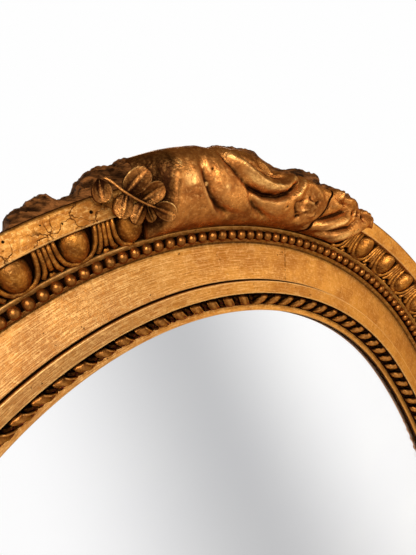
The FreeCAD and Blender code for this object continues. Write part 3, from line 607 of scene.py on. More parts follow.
# Geometry Nodes
class NodeTree:
    """A Geometry Nodes tree with named inputs, run once to make a plain mesh."""

    def __init__(self, name: str, inputs: dict[str, str]) -> None:
        """Makes the tree.

        Args:
            name: The tree's name.
            inputs: Socket types by input name.
        """
        self.tree = bpy.data.node_groups.new(name, "GeometryNodeTree")
        face = self.tree.interface
        face.new_socket("Geometry", in_out="OUTPUT", socket_type="NodeSocketGeometry")
        self.keys = {key: face.new_socket(key, in_out="INPUT", socket_type=f"NodeSocket{kind}").identifier
                     for key, kind in inputs.items()}
        self.start = self.tree.nodes.new("NodeGroupInput")

    def given(self, name: str) -> Any:
        """The output that carries a named input."""
        return socket(self.start.outputs, name)

    def close(self, geometry: Any) -> None:
        """Ends the tree in Realize Instances and Set Material.

        Args:
            geometry: The output that carries the finished shape.
        """
        plain = node(self.tree, "GeometryNodeRealizeInstances", {}, {"Geometry": geometry})
        coated = node(self.tree, "GeometryNodeSetMaterial", {}, {
            "Geometry": plain, "Material": self.given("Material")})
        node(self.tree, "NodeGroupOutput", {}, (coated,))

    def run(self, name: str, values: dict[str, Any]) -> Any:
        """Evaluates the tree.

        Args:
            name: The new object's name.
            values: Input values by name.

        Returns:
            A plain mesh object.
        """
        holder = bpy.data.objects.new(name, bpy.data.meshes.new(name))
        bpy.context.scene.collection.objects.link(holder)
        modifier = holder.modifiers.new(name, "NODES")
        modifier.node_group = self.tree
        for key, value in values.items():
            modifier[self.keys[key]] = value
        graph = bpy.context.evaluated_depsgraph_get()
        graph.update()
        mesh = bpy.data.meshes.new_from_object(holder.evaluated_get(graph))
        holder.modifiers.clear()
        holder.data = mesh
        mesh.name = name
        return holder


def sweep_tree() -> NodeTree:
    """A tree that draws a closed profile round an arc, and keeps each point's place along and across it.

    Returns:
        The tree.
    """
    made = NodeTree("moulding sweep", {"Profile": "Object", "Radius": "Float", "Half Angle": "Float", "Steps": "Int",
                                       "Centre": "Vector", "Turn": "Float", "Material": "Material"})
    tree, given = made.tree, made.given
    half = given("Half Angle")
    start = node(tree, MATH, {"operation": "SUBTRACT"}, (math.pi / 2, half))
    whole = node(tree, MATH, {"operation": "MULTIPLY"}, (half, 2.0))
    arc = node(tree, "GeometryNodeCurveArc", {"mode": "RADIUS"}, {
        "Resolution": given("Steps"), "Radius": given("Radius"), "Start Angle": start, "Sweep Angle": whole})
    length = node(tree, "GeometryNodeSplineParameter", out="Length")
    rail = node(tree, "GeometryNodeStoreNamedAttribute", {"data_type": "FLOAT", "domain": "POINT"}, {
        "Geometry": arc, "Name": "run", "Value": length})
    outline = node(tree, "GeometryNodeObjectInfo", {}, {"Object": given("Profile")}, "Geometry")
    line = node(tree, "GeometryNodeMeshToCurve", {}, {"Mesh": outline})
    swept = node(tree, "GeometryNodeCurveToMesh", {}, {"Curve": rail, "Profile Curve": line, "Fill Caps": True})
    both = node(tree, POINT, {}, [
        node(tree, "GeometryNodeInputNamedAttribute", {"data_type": "FLOAT"}, {"Name": name}, "Attribute")
        for name in ("run", "girth")])
    marked = node(tree, "GeometryNodeStoreNamedAttribute", {"data_type": "FLOAT_VECTOR", "domain": "POINT"}, {
        "Geometry": swept, "Name": "course", "Value": both})
    upright = node(tree, "GeometryNodeTransform", {}, {"Geometry": marked, "Rotation": (math.pi / 2, 0, 0)})
    turned = node(tree, "GeometryNodeTransform", {}, {
        "Geometry": upright, "Translation": given("Centre"),
        "Rotation": node(tree, POINT, {}, {"Y": given("Turn")})})
    made.close(turned)
    return made


def course_tree() -> NodeTree:
    """A tree that sets copies of a unit along an arc, each a little different in size and set.

    Returns:
        The tree.
    """
    made = NodeTree("ornament course", {
        "Unit": "Object", "Count": "Int", "Radius": "Float", "Height": "Float", "Start": "Float", "Step": "Float",
        "Centre": "Vector", "Seed": "Int", "Swell": "Float", "Sway": "Float", "Material": "Material"})
    tree, given = made.tree, made.given
    index = node(tree, "GeometryNodeInputIndex")
    angle = node(tree, MATH, {"operation": "MULTIPLY_ADD"}, (index, given("Step"), given("Start")))
    across, up = (
        node(tree, MATH, {"operation": "MULTIPLY"}, (node(tree, MATH, {"operation": wave}, (angle,)), given("Radius")))
        for wave in ("SINE", "COSINE"))
    depth, back = (node(tree, MATH, {"operation": "MULTIPLY"}, (given(name), -1.0)) for name in ("Height", "Sway"))
    spot = node(tree, VECTOR, {"operation": "ADD"}, (node(tree, POINT, {}, (across, depth, up)), given("Centre")))
    points = node(tree, "GeometryNodePoints", {}, {"Count": given("Count"), "Position": spot})
    low, high = (node(tree, MATH, {"operation": name}, (1.0, given("Swell"))) for name in ("SUBTRACT", "ADD"))
    size, sway = (
        node(tree, "FunctionNodeRandomValue", {"data_type": "FLOAT"}, {
            "Min_001": least, "Max_001": most, "Seed": given("Seed")}, "Value_001")
        for least, most in ((low, high), (back, given("Sway"))))
    turn = node(tree, MATH, {"operation": "ADD"}, (angle, sway))
    unit = node(tree, "GeometryNodeObjectInfo", {}, {"Object": given("Unit")}, "Geometry")
    set_out = node(tree, "GeometryNodeInstanceOnPoints", {}, {
        "Points": points, "Instance": unit, "Rotation": node(tree, POINT, {}, {"Y": turn}), "Scale": size})
    made.close(set_out)
    return made


# Mouldings
BACK_FACING = 0.7


@dataclass(frozen=True)
class Corner:
    """A corner of a profile: inset and height in millimetres, its rounding, its painted shade with some dirt, its wear
    with painted highlight, and how crazed it is.
    """

    inset: float
    height: float
    rounding: float = 0.4
    hollow: float = 0.0
    rub: float = 0.0
    craze: float = 0.0


@dataclass
class Moulding:
    """A profile drawn round the four arcs of the oval."""

    name: str
    corners: Sequence[Corner]
    finish: Finish
    rounding_steps: int = 3
    most_cut: float = 0.45
    longest_mm: float = 5.0
    steps: int = 150

    def outline(self) -> tuple[list[tuple[float, float]], dict[str, list[float]]]:
        """Rounds the corners and divides the long sides.

        Returns:
            Points as inset and height, and their marks.
        """
        points, marks = [], []
        count = len(self.corners)
        for index, corner in enumerate(self.corners):
            here = np.array([corner.inset, corner.height])
            before, after = (self.corners[(index + k) % count] for k in (-1, 1))
            ways = [np.array([other.inset, other.height]) - here for other in (before, after)]
            lengths = [float(np.linalg.norm(way)) for way in ways]
            ways = [way / length for way, length in zip(ways, lengths)]
            cut = min(corner.rounding, *(self.most_cut * length for length in lengths))
            for step in range(self.rounding_steps + 1):
                t = step / self.rounding_steps
                points.append(tuple(here + ways[0] * cut * (1 - t) ** 2 + ways[1] * cut * t ** 2))
                marks.append((corner.hollow, corner.rub, corner.craze))
            for step in range(1, max(1, round((lengths[1] - cut) / self.longest_mm))):
                t = step * self.longest_mm / lengths[1]
                points.append(tuple(here + ways[1] * t * lengths[1]))
                marks.append((corner.hollow + (after.hollow - corner.hollow) * t, 0.0,
                              corner.craze + (after.craze - corner.craze) * t))
        return points, {name: list(values) for name, values in zip(("hollow", "rub", "craze"), zip(*marks))}

    def build(self, tree: NodeTree) -> list[Any]:
        """Sweeps the profile round each arc.

        Args:
            tree: The sweep tree.

        Returns:
            One piece for each arc.
        """
        points, marks = self.outline()
        points = points[::-1]
        marks = {key: values[::-1] for key, values in marks.items()}
        closed = np.array(points + points[:1])
        sides = np.linalg.norm(np.diff(closed, axis=0), axis=1)
        marks["girth"] = list(np.concatenate([[0], np.cumsum(sides)])[:-1] * MM)
        mesh = bpy.data.meshes.new(f"{self.name} profile")
        count = len(points)
        mesh.from_pydata([(-i * MM, -h * MM, 0) for i, h in points], [(k, (k + 1) % count) for k in range(count)], [])
        for key, values in marks.items():
            mesh.attributes.new(key, "FLOAT", "POINT").data.foreach_set("value", values)
        profile = bpy.data.objects.new(mesh.name, mesh)
        made = []
        for arc in ARCS.values():
            turn = math.radians(arc.turn)
            centre = Vector((math.sin(turn), 0, math.cos(turn))) * (arc.offset * MM)
            piece = tree.run(f"{self.name}_{arc.side}", {
                "Profile": profile, "Radius": arc.radius * MM, "Half Angle": math.radians(arc.half_angle),
                "Steps": self.steps, "Centre": centre, "Turn": turn, "Material": self.finish.material()})
            piece.data.polygons.foreach_set("use_smooth", [True] * len(piece.data.polygons))
            outward(piece).data.materials.append(Finish.LIME.material())
            for face in piece.data.polygons:
                face.material_index = int(face.normal.y > BACK_FACING)
            made.append(piece)
        bpy.data.objects.remove(profile)
        return made


# In both profiles the fourth number is painted shade with some dirt, deepest in the egg bed, the channels and the gaps
# and laid along some edges; the fifth is wear with painted highlight on the edges
FRAME = Moulding("frame", [Corner(*row) for row in (
    (3.5, 0, 0.8), (0, 53.0, 0.7, 0.9), (1.5, 55, 0.9, 0.42, 0.1, 1.0), (4.0, 55, 0.9, 0.05, 0.0, 1.0),
    (13.9, 55, 0.3, 0.0, 0.0, 1.0), (15.5, 55, 1.0, 0.0, 0.6, 1.0), (15.5, 53.0, 0.5, 0.5), (15.5, 46, 0.4, 1.0),
    (33.1, 36.4, 0.4, 1.0), (33.4, 38.6, 0.4, 0.7), (34.3, 40.3, 0.8, 0.4, 0.26), (36.0, 39.7, 0.8, 0.52, 0.1),
    (37.4, 38.3, 0.6, 0.5, 0.16), (37.6, 35.6, 0.4, 1.0), (43.4, 31.2, 0.4, 1.0), (43.4, 34.2, 0.6, 0.4, 0.15),
    (44.7, 32.9, 0.5, 0.45), (46.4, 31.2, 0.6, 0.7), (47.4, 31.4, 0.3, 0.34), (51.0, 31.9, 0.3, 0.12),
    (73.7, 35.36, 0.3), (75.3, 35.6, 0.9, 0.0, 0.5), (75.3, 33.0, 0.3, 0.8), (75.3, 27, 0.3, 1.0), (62, 27, 0.3),
    (62, 12, 0.3), (45, 12, 0.3), (45, 0, 0.4),
)], Finish.FLAT)

SLIP = Moulding("slip", [Corner(*row) for row in (
    (62.5, 12, 0.3), (62.5, 27, 0.3), (76.2, 27, 0.3, 1.0), (76.2, 36.5, 0.3, 0.9), (76.2, 40, 1.0, 0.0, 0.7),
    (77.8, 39.92, 0.3), (84.6, 39.58, 0.3), (86.1, 39.5, 0.9, 0.0, 0.8), (86.1, 37.5, 0.3, 1.0), (95.4, 28, 0.3, 1.0),
    (95.4, 30, 0.5, 0.2, 0.3), (97.0, 30.3, 0.3, 0.30), (99.2, 30.43, 0.3, 0.12), (100.5, 30.5, 0.7, 0.0, 0.5),
    (100.5, 29.2, 0.3, 0.3), (100.5, 28.4, 0.3, 1.0), (100.5, 26.5, 0.3, 1.0), (87.5, 26.5, 0.3, 1.0),
    (87.5, 12, 0.3),
)], Finish.FLAT)


# Repeated ornament
@dataclass
class Course:
    """Units of ornament set round the arcs: where the unit's middle stands, and how many stand on each arc."""

    name: str
    inset: float
    height: float
    counts: dict[str, int]
    finish: Finish
    first_share: float = 0.5
    swell: float = 0.02
    sway: float = 0.01
    seed: int = 3
    top_step: float = 0.0
    top_runs: Sequence[tuple[float, int]] = ()

    def build(self, tree: NodeTree, unit: Any, mirrored: Optional[Any] = None) -> list[Any]:
        """Sets the unit out on every arc.

        Args:
            tree: The course tree.
            unit: The unit's object, with its middle at the origin.
            mirrored: The unit for the oval's right half, if it differs.

        Returns:
            One piece for each arc.
        """
        made = []
        halves = {"top": (unit, mirrored), "right": (mirrored,), "bottom": (mirrored, unit), "left": (unit,)}
        for number, (side, count) in enumerate(self.counts.items()):
            arc = ARCS[side]
            step = 2 * arc.half_angle / count
            first = -arc.half_angle + self.first_share * step
            turn = math.radians(arc.turn)
            runs = [(first, count, unit)]
            if side == "top" and self.top_runs:
                step, runs = self.top_step, [(start, amount, unit) for start, amount in self.top_runs]
            elif mirrored:
                shares = (count,) if len(halves[side]) == 1 else (count // 2, count - count // 2)
                runs = [(first + place * shares[0] * step, share, half)
                        for place, (share, half) in enumerate(zip(shares, halves[side]))]
            parts = []
            for start, amount, shape in runs:
                parts.append(tree.run(f"{self.name}_{side}", {
                    "Unit": shape, "Count": amount,
                    "Radius": (arc.radius - self.inset) * MM, "Height": self.height * MM,
                    "Start": math.radians(start + arc.turn), "Step": math.radians(step),
                    "Centre": Vector((math.sin(turn), 0, math.cos(turn))) * (arc.offset * MM),
                    "Seed": self.seed + number, "Swell": self.swell, "Sway": self.sway,
                    "Material": self.finish.material()}))
            made.append(join(parts))
        for shape in filter(None, (unit, mirrored)):
            bpy.data.objects.remove(shape)
        return made


def join(parts: Sequence[Any]) -> Any:
    """Joins mesh objects into the first of them.

    Args:
        parts: The objects.

    Returns:
        The first object.
    """
    if len(parts) > 1:
        with bpy.context.temp_override(active_object=parts[0], object=parts[0], selected_objects=list(parts),
                                       selected_editable_objects=list(parts)):
            bpy.ops.object.join()
    return parts[0]


@dataclass
class Shape:
    """A shape gathered point by point, with the painted shade and dirt and the wear and painted highlight of each
    point.
    """

    points: list[tuple[float, ...]] = field(default_factory=list)
    faces: list[tuple[int, ...]] = field(default_factory=list)
    hollow: list[float] = field(default_factory=list)
    rub: list[float] = field(default_factory=list)

    def add(self, point: Sequence[float], hollow: float, rub: float = 0.0) -> None:
        """Adds a point.

        Args:
            point: Its place in metres.
            hollow: How much painted shade and dirt it takes.
            rub: How much wear and painted highlight it takes.
        """
        self.points.append(tuple(point))
        self.hollow.append(hollow)
        self.rub.append(rub)

    def skin(self, rows: int, columns: int, caps: bool = True) -> None:
        """Covers the last points, which lie in rows that close on themselves.

        Args:
            rows: Rows of points.
            columns: Points in a row.
            caps: Whether the first and last rows are filled.
        """
        base = len(self.points) - rows * columns
        self.faces += [tuple(base + corner for corner in face) for face in sheet_faces(rows, columns, True, caps)]

    def build(self, name: str) -> Any:
        """Makes the object."""
        return add_object(name, self.points, self.faces, {"hollow": self.hollow, "rub": self.rub})


# Half sizes of a pearl along the course, forward and across it
PEARL_RADII = (3.95, 3.75, 4.35)


def pearl_unit() -> Any:
    """Makes one pearl, with painted shade where it meets its neighbours and its channel, and a painted highlight on its
    front.

    Returns:
        The unit.
    """
    rows, columns = 6, 12
    radii = np.array(PEARL_RADII) * MM
    shape = Shape()
    for row in range(1, rows):
        polar = math.pi * row / rows
        for column in range(columns):
            around = 2 * math.pi * column / columns
            way = np.array([math.sin(polar) * math.cos(around), -math.cos(polar), math.sin(polar) * math.sin(around)])
            # Painted shade at the back and towards the neighbours, and a painted highlight on the front
            hollow = max(0.0, way[1] * 0.9 + 0.45) + 0.25 * abs(way[0])
            shape.add(way * radii, hollow, max(0.0, 0.4 - hollow))
    shape.skin(rows - 1, columns, False)
    front = len(shape.points)
    shape.add((0, -radii[1], 0), 0.0, 0.4)
    shape.add((0, radii[1], 0), 1.0)
    last = (rows - 2) * columns
    shape.faces += [(front, (c + 1) % columns, c) for c in range(columns)]
    shape.faces += [(front + 1, last + c, last + (c + 1) % columns) for c in range(columns)]
    return outward(shape.build("pearl"))


# Egg bed: the inset and height of its outer edge, its breadth and fall, and the units' middle over it
BED_START, BED_TOP, BED_BREADTH, BED_FALL = 15.5, 46.0, 18.9, 10.2
BED_MIDDLE = (23.4, 41.75)


def bed_point(across: float, inset: float, rise: float) -> tuple[float, float, float]:
    """Finds a point over the egg bed from a unit's middle.

    Args:
        across: Millimetres to the right along the moulding.
        inset: Millimetres inward from the bed's outer edge.
        rise: Millimetres forward from the bed.

    Returns:
        The point in metres.
    """
    height = BED_TOP - inset * BED_FALL / BED_BREADTH + rise
    return across * MM, -(height - BED_MIDDLE[1]) * MM, (BED_MIDDLE[0] - BED_START - inset) * MM


# Inset, half breadth and rise of an egg's rings
EGG_RINGS = (
    (0.1, 7.6, 7.4), (1.2, 8.5, 9.0), (3.4, 9.0, 10.6), (6.6, 9.2, 11.6), (10.0, 8.9, 12.0), (13.2, 7.8, 11.5),
    (15.6, 6.0, 10.1), (17.1, 3.9, 8.2), (17.8, 1.5, 6.2))


def egg_unit() -> Any:
    """Makes one egg, with its head under the band and its foot on the fillet.

    Returns:
        The unit.
    """
    columns = 14
    shape = Shape()
    for inset, half, rise in EGG_RINGS:
        head = 0.75 if inset < 0.5 else 0.18 if inset < 2 else 0.0
        foot = 0.3 * max(0.0, inset - 9) / 8
        for column in range(columns):
            around = math.pi * (column / (columns - 1) - 0.5)
            up = max(0.12, math.cos(around))
            # Painted shade on the sides, under the band at the head and towards the foot; a painted highlight along the
            # crest near the head
            hollow = min(1.0, 0.85 * (1 - up) ** 1.5 + head + foot)
            rub = 0.38 * max(0.0, math.cos(around)) ** 2 * max(0.0, 1 - inset / 13)
            shape.add(bed_point(math.sin(around) * half, inset, up * rise), hollow, rub)
    shape.skin(len(EGG_RINGS), columns)
    return outward(shape.build("egg"))


# A dart's ribs as places across and down the bed, each with its rise and whether it stands on both sides
DART_RIBS = (
    (((0, 0.1), (0, 5), (0, 10), (0, 14.4)), 6.4, False),
    (((2.75, 0.1), (2.7, 5), (2.9, 10), (3.8, 14.2), (6.0, 17.2)), 6.4, True),
    (((5.5, 0.1), (5.7, 5), (6.4, 10), (8.2, 14.2), (10.8, 16.9), (14.4, 18.4), (17.9, 18.7)), 7.0, True),
    (((-1.6, 16.8), (0, 17.8), (1.6, 16.8)), 3.6, False),
)
RIB_SECTION = ((-1.0, 0.0), (-0.98, 0.72), (-0.55, 1.0), (0.55, 1.0), (0.98, 0.72), (1.0, 0.0))
RIB_SEAT, BED_EDGES = 0.15, (0.05, 19.6)


def dart_unit() -> Any:
    """Makes one dart: five ribs that run down from the band, the outer ones bent in under the eggs, and a small knob.

    Returns:
        The unit.
    """
    shape = Shape()
    for hand in (1, -1):
        for rib, crown, paired in DART_RIBS:
            if hand < 0 and not paired:
                continue
            path = np.array(rib) * (hand, 1)
            heading = np.gradient(path, axis=0)
            heading /= np.linalg.norm(heading, axis=1)[:, None]
            for (across, inset), (along_x, along_y) in zip(path, heading):
                half, rise = 1.36 + 0.01 * inset, crown - 0.06 * inset
                for wide, high in RIB_SECTION:
                    down = min(BED_EDGES[1], max(BED_EDGES[0], inset + along_x * wide * half))
                    point = bed_point(across - along_y * wide * half, down, RIB_SEAT + high * rise)
                    # Painted shade low between the ribs, and a painted highlight on their tops
                    shape.add(point, 1.0 - high ** 1.4, 0.22 * high ** 3)
            shape.skin(len(path), len(RIB_SECTION))
    return outward(shape.build("dart"))


# Twist channel: the units' middle over it, its floor's slope, the height of the strands' axis and the unit's seat
TWIST_MIDDLE = (90.9, 34.0)
TWIST_SLOPE = math.atan2(9.5, 9.3)
STRAND_AXIS, TWIST_SEAT = 2.6, 1.2
# Rings of the barrel as places along, half breadth, rise, painted highlight and painted shade, and the barrel's lean,
# for each hand
BARRELS = {
    1: (((-4.3, 3.4, 1.4, 0.0, 0.6), (-3.9, 5.0, 2.9, 0.5, 0.1), (-3.0, 5.0, 2.8, 0.1, 0.0), (0.0, 5.6, 4.1, 1.1, -0.1),
         (3.0, 5.0, 2.8, 0.1, 0.1), (3.9, 5.0, 3.1, 1.2, 0.0), (4.3, 3.4, 1.4, 0.0, 0.6)), 0.75),
    -1: (((-4.8, 3.8, 0.9, 0.0, 1.0), (-3.8, 4.9, 2.2, 0.0, 0.6), (-2.2, 5.3, 3.4, 0.7, -0.1),
          (0.3, 5.5, 3.8, 1.0, 0.0), (2.4, 5.3, 3.4, 0.8, -0.1), (4.0, 4.9, 2.4, 0.0, 0.65),
          (4.8, 3.8, 0.9, 0.0, 1.0)), 0.6),
}
BARREL_DOWN, KNOTS_DOWN, KNOT_LEAN = -0.7, (-3.6, 1.7), 0.6
# Painted shade and rise of the knots for each hand
KNOT_TONES = {1: (0.7, 2.3), -1: (0.95, 1.4)}


def twist_unit(hand: int) -> Any:
    """Makes one turn of the ribbon twist: a barrel with painted highlights on its two slanting edges, and two knots
    after it in painted shade.

    Args:
        hand: 1 for the oval's left half, -1 for its mirrored right half.

    Returns:
        The unit.
    """
    rings, lean = BARRELS[hand]
    tone, crown = KNOT_TONES[hand]
    strands = [([(along, BARREL_DOWN, *form) for along, *form in rings], 10, lean)]
    strands += [([(5.0, down - 1.0, 1.4, 0.5 * crown, 0.0, tone), (6.4, down - 0.3, 2.9, crown, 0.2, tone),
                  (8.0, down + 0.3, 2.9, crown, 0.2, tone), (9.4, down + 1.0, 1.4, 0.5 * crown, 0.0, tone)],
                 6, KNOT_LEAN) for down in KNOTS_DOWN]
    shape = Shape()
    for strand, count, shear in strands:
        for along, down, half, rise, painted_highlight, dark in strand:
            for step in range(count):
                around = 2 * math.pi * step / count
                wide, lift = down + math.cos(around) * half, math.sin(around) * rise + STRAND_AXIS
                inset = wide * math.cos(TWIST_SLOPE) + lift * math.sin(TWIST_SLOPE)
                height = lift * math.cos(TWIST_SLOPE) - wide * math.sin(TWIST_SLOPE)
                point = hand * (along + shear * wide), TWIST_SEAT - height, TWIST_SEAT - inset
                # Painted shade under and beside the strand and in its dark rings, and a painted highlight along its top
                hollow = dark + 0.42 - 0.62 * math.sin(around) + 0.25 * abs(math.cos(around))
                shape.add([size * MM for size in point], max(0.0, min(1.0, hollow)),
                          painted_highlight * max(0.0, math.sin(around)) ** 0.7)
        shape.skin(len(strand), count)
    return outward(shape.build("twist"))


# Crest
MM_PER_DEGREE = 6.0


def table(values: Sequence[tuple[float, float]], at: np.ndarray) -> np.ndarray:
    """Reads a table of pairs, with straight lines between them."""
    pairs = np.array(values)
    return np.interp(at, pairs[:, 0], pairs[:, 1])


def resampled(path: Sequence[Sequence[float]], count: int, by_length: bool = False) -> np.ndarray:
    """Spreads points over a path.

    Args:
        path: The path's corners.
        count: How many points there are.
        by_length: Whether they lie evenly over the path's length, and not over its corners.

    Returns:
        The points, one in a row.
    """
    corners = np.array(path, float)
    steps = np.linalg.norm(np.diff(corners, axis=0), axis=1) if by_length else np.ones(len(corners) - 1)
    spread = np.concatenate([[0], np.cumsum(steps)])
    at = np.linspace(0, spread[-1], count)
    return np.stack([np.interp(at, spread, values) for values in corners.T], axis=1)


def smoothed(values: np.ndarray, rounds: int = 1) -> np.ndarray:
    """Evens values out along their first axis, between ends that stay.

    Args:
        values: The values, which are changed in place.
        rounds: How many times.

    Returns:
        The same values.
    """
    for _ in range(rounds):
        values[1:-1] = (values[:-2] + 2 * values[1:-1] + values[2:]) / 4
    return values


def gap_mm(angles: np.ndarray, insets: np.ndarray, angle: float, inset: float) -> np.ndarray:
    """How far points of the crest lie from one spot."""
    return np.hypot((angles - angle) * MM_PER_DEGREE, insets - inset)


@dataclass(frozen=True)
class Fold:
    """A ridge or valley along a path of angles and insets: its rise and its width on either side, in millimetres."""

    path: Sequence[tuple[float, float]]
    rise: float
    left: float
    right: float
    ends: float = 0.35

    def path_by_inset(self) -> list[tuple[float, float]]:
        """The path as pairs of inset and angle."""
        return [(inset, angle) for angle, inset in self.path]

    def lift(self, angle: np.ndarray, inset: np.ndarray) -> np.ndarray:
        """Works out how far the fold lifts the cloth.

        Args:
            angle: Degrees along the crest.
            inset: Millimetres inward from the outer edge.

        Returns:
            Millimetres outward at each point.
        """
        x, y = angle * MM_PER_DEGREE, inset
        line = np.array([(a * MM_PER_DEGREE, i) for a, i in self.path])
        lengths = np.linalg.norm(np.diff(line, axis=0), axis=1)
        whole = lengths.sum()
        best = np.full(x.shape, 1e9)
        side = np.ones(x.shape)
        along = np.zeros(x.shape)
        run = 0.0
        for (ax, ay), (bx, by), length in zip(line[:-1], line[1:], lengths):
            ux, uy = (bx - ax) / length, (by - ay) / length
            t = np.clip((x - ax) * ux + (y - ay) * uy, 0, length)
            dx, dy = x - ax - t * ux, y - ay - t * uy
            gap = np.hypot(dx, dy)
            near = gap < best
            best = np.where(near, gap, best)
            side = np.where(near, dx * uy - dy * ux, side)
            along = np.where(near, (run + t) / whole, along)
            run += length
        width = np.where(side < 0, self.left, self.right)
        fade = np.clip(np.minimum(along, 1 - along) / self.ends, 0, 1)
        fade = 0.25 + 0.75 * fade * fade * (3 - 2 * fade)
        return self.rise * fade * np.exp(-((best / width) ** 2))


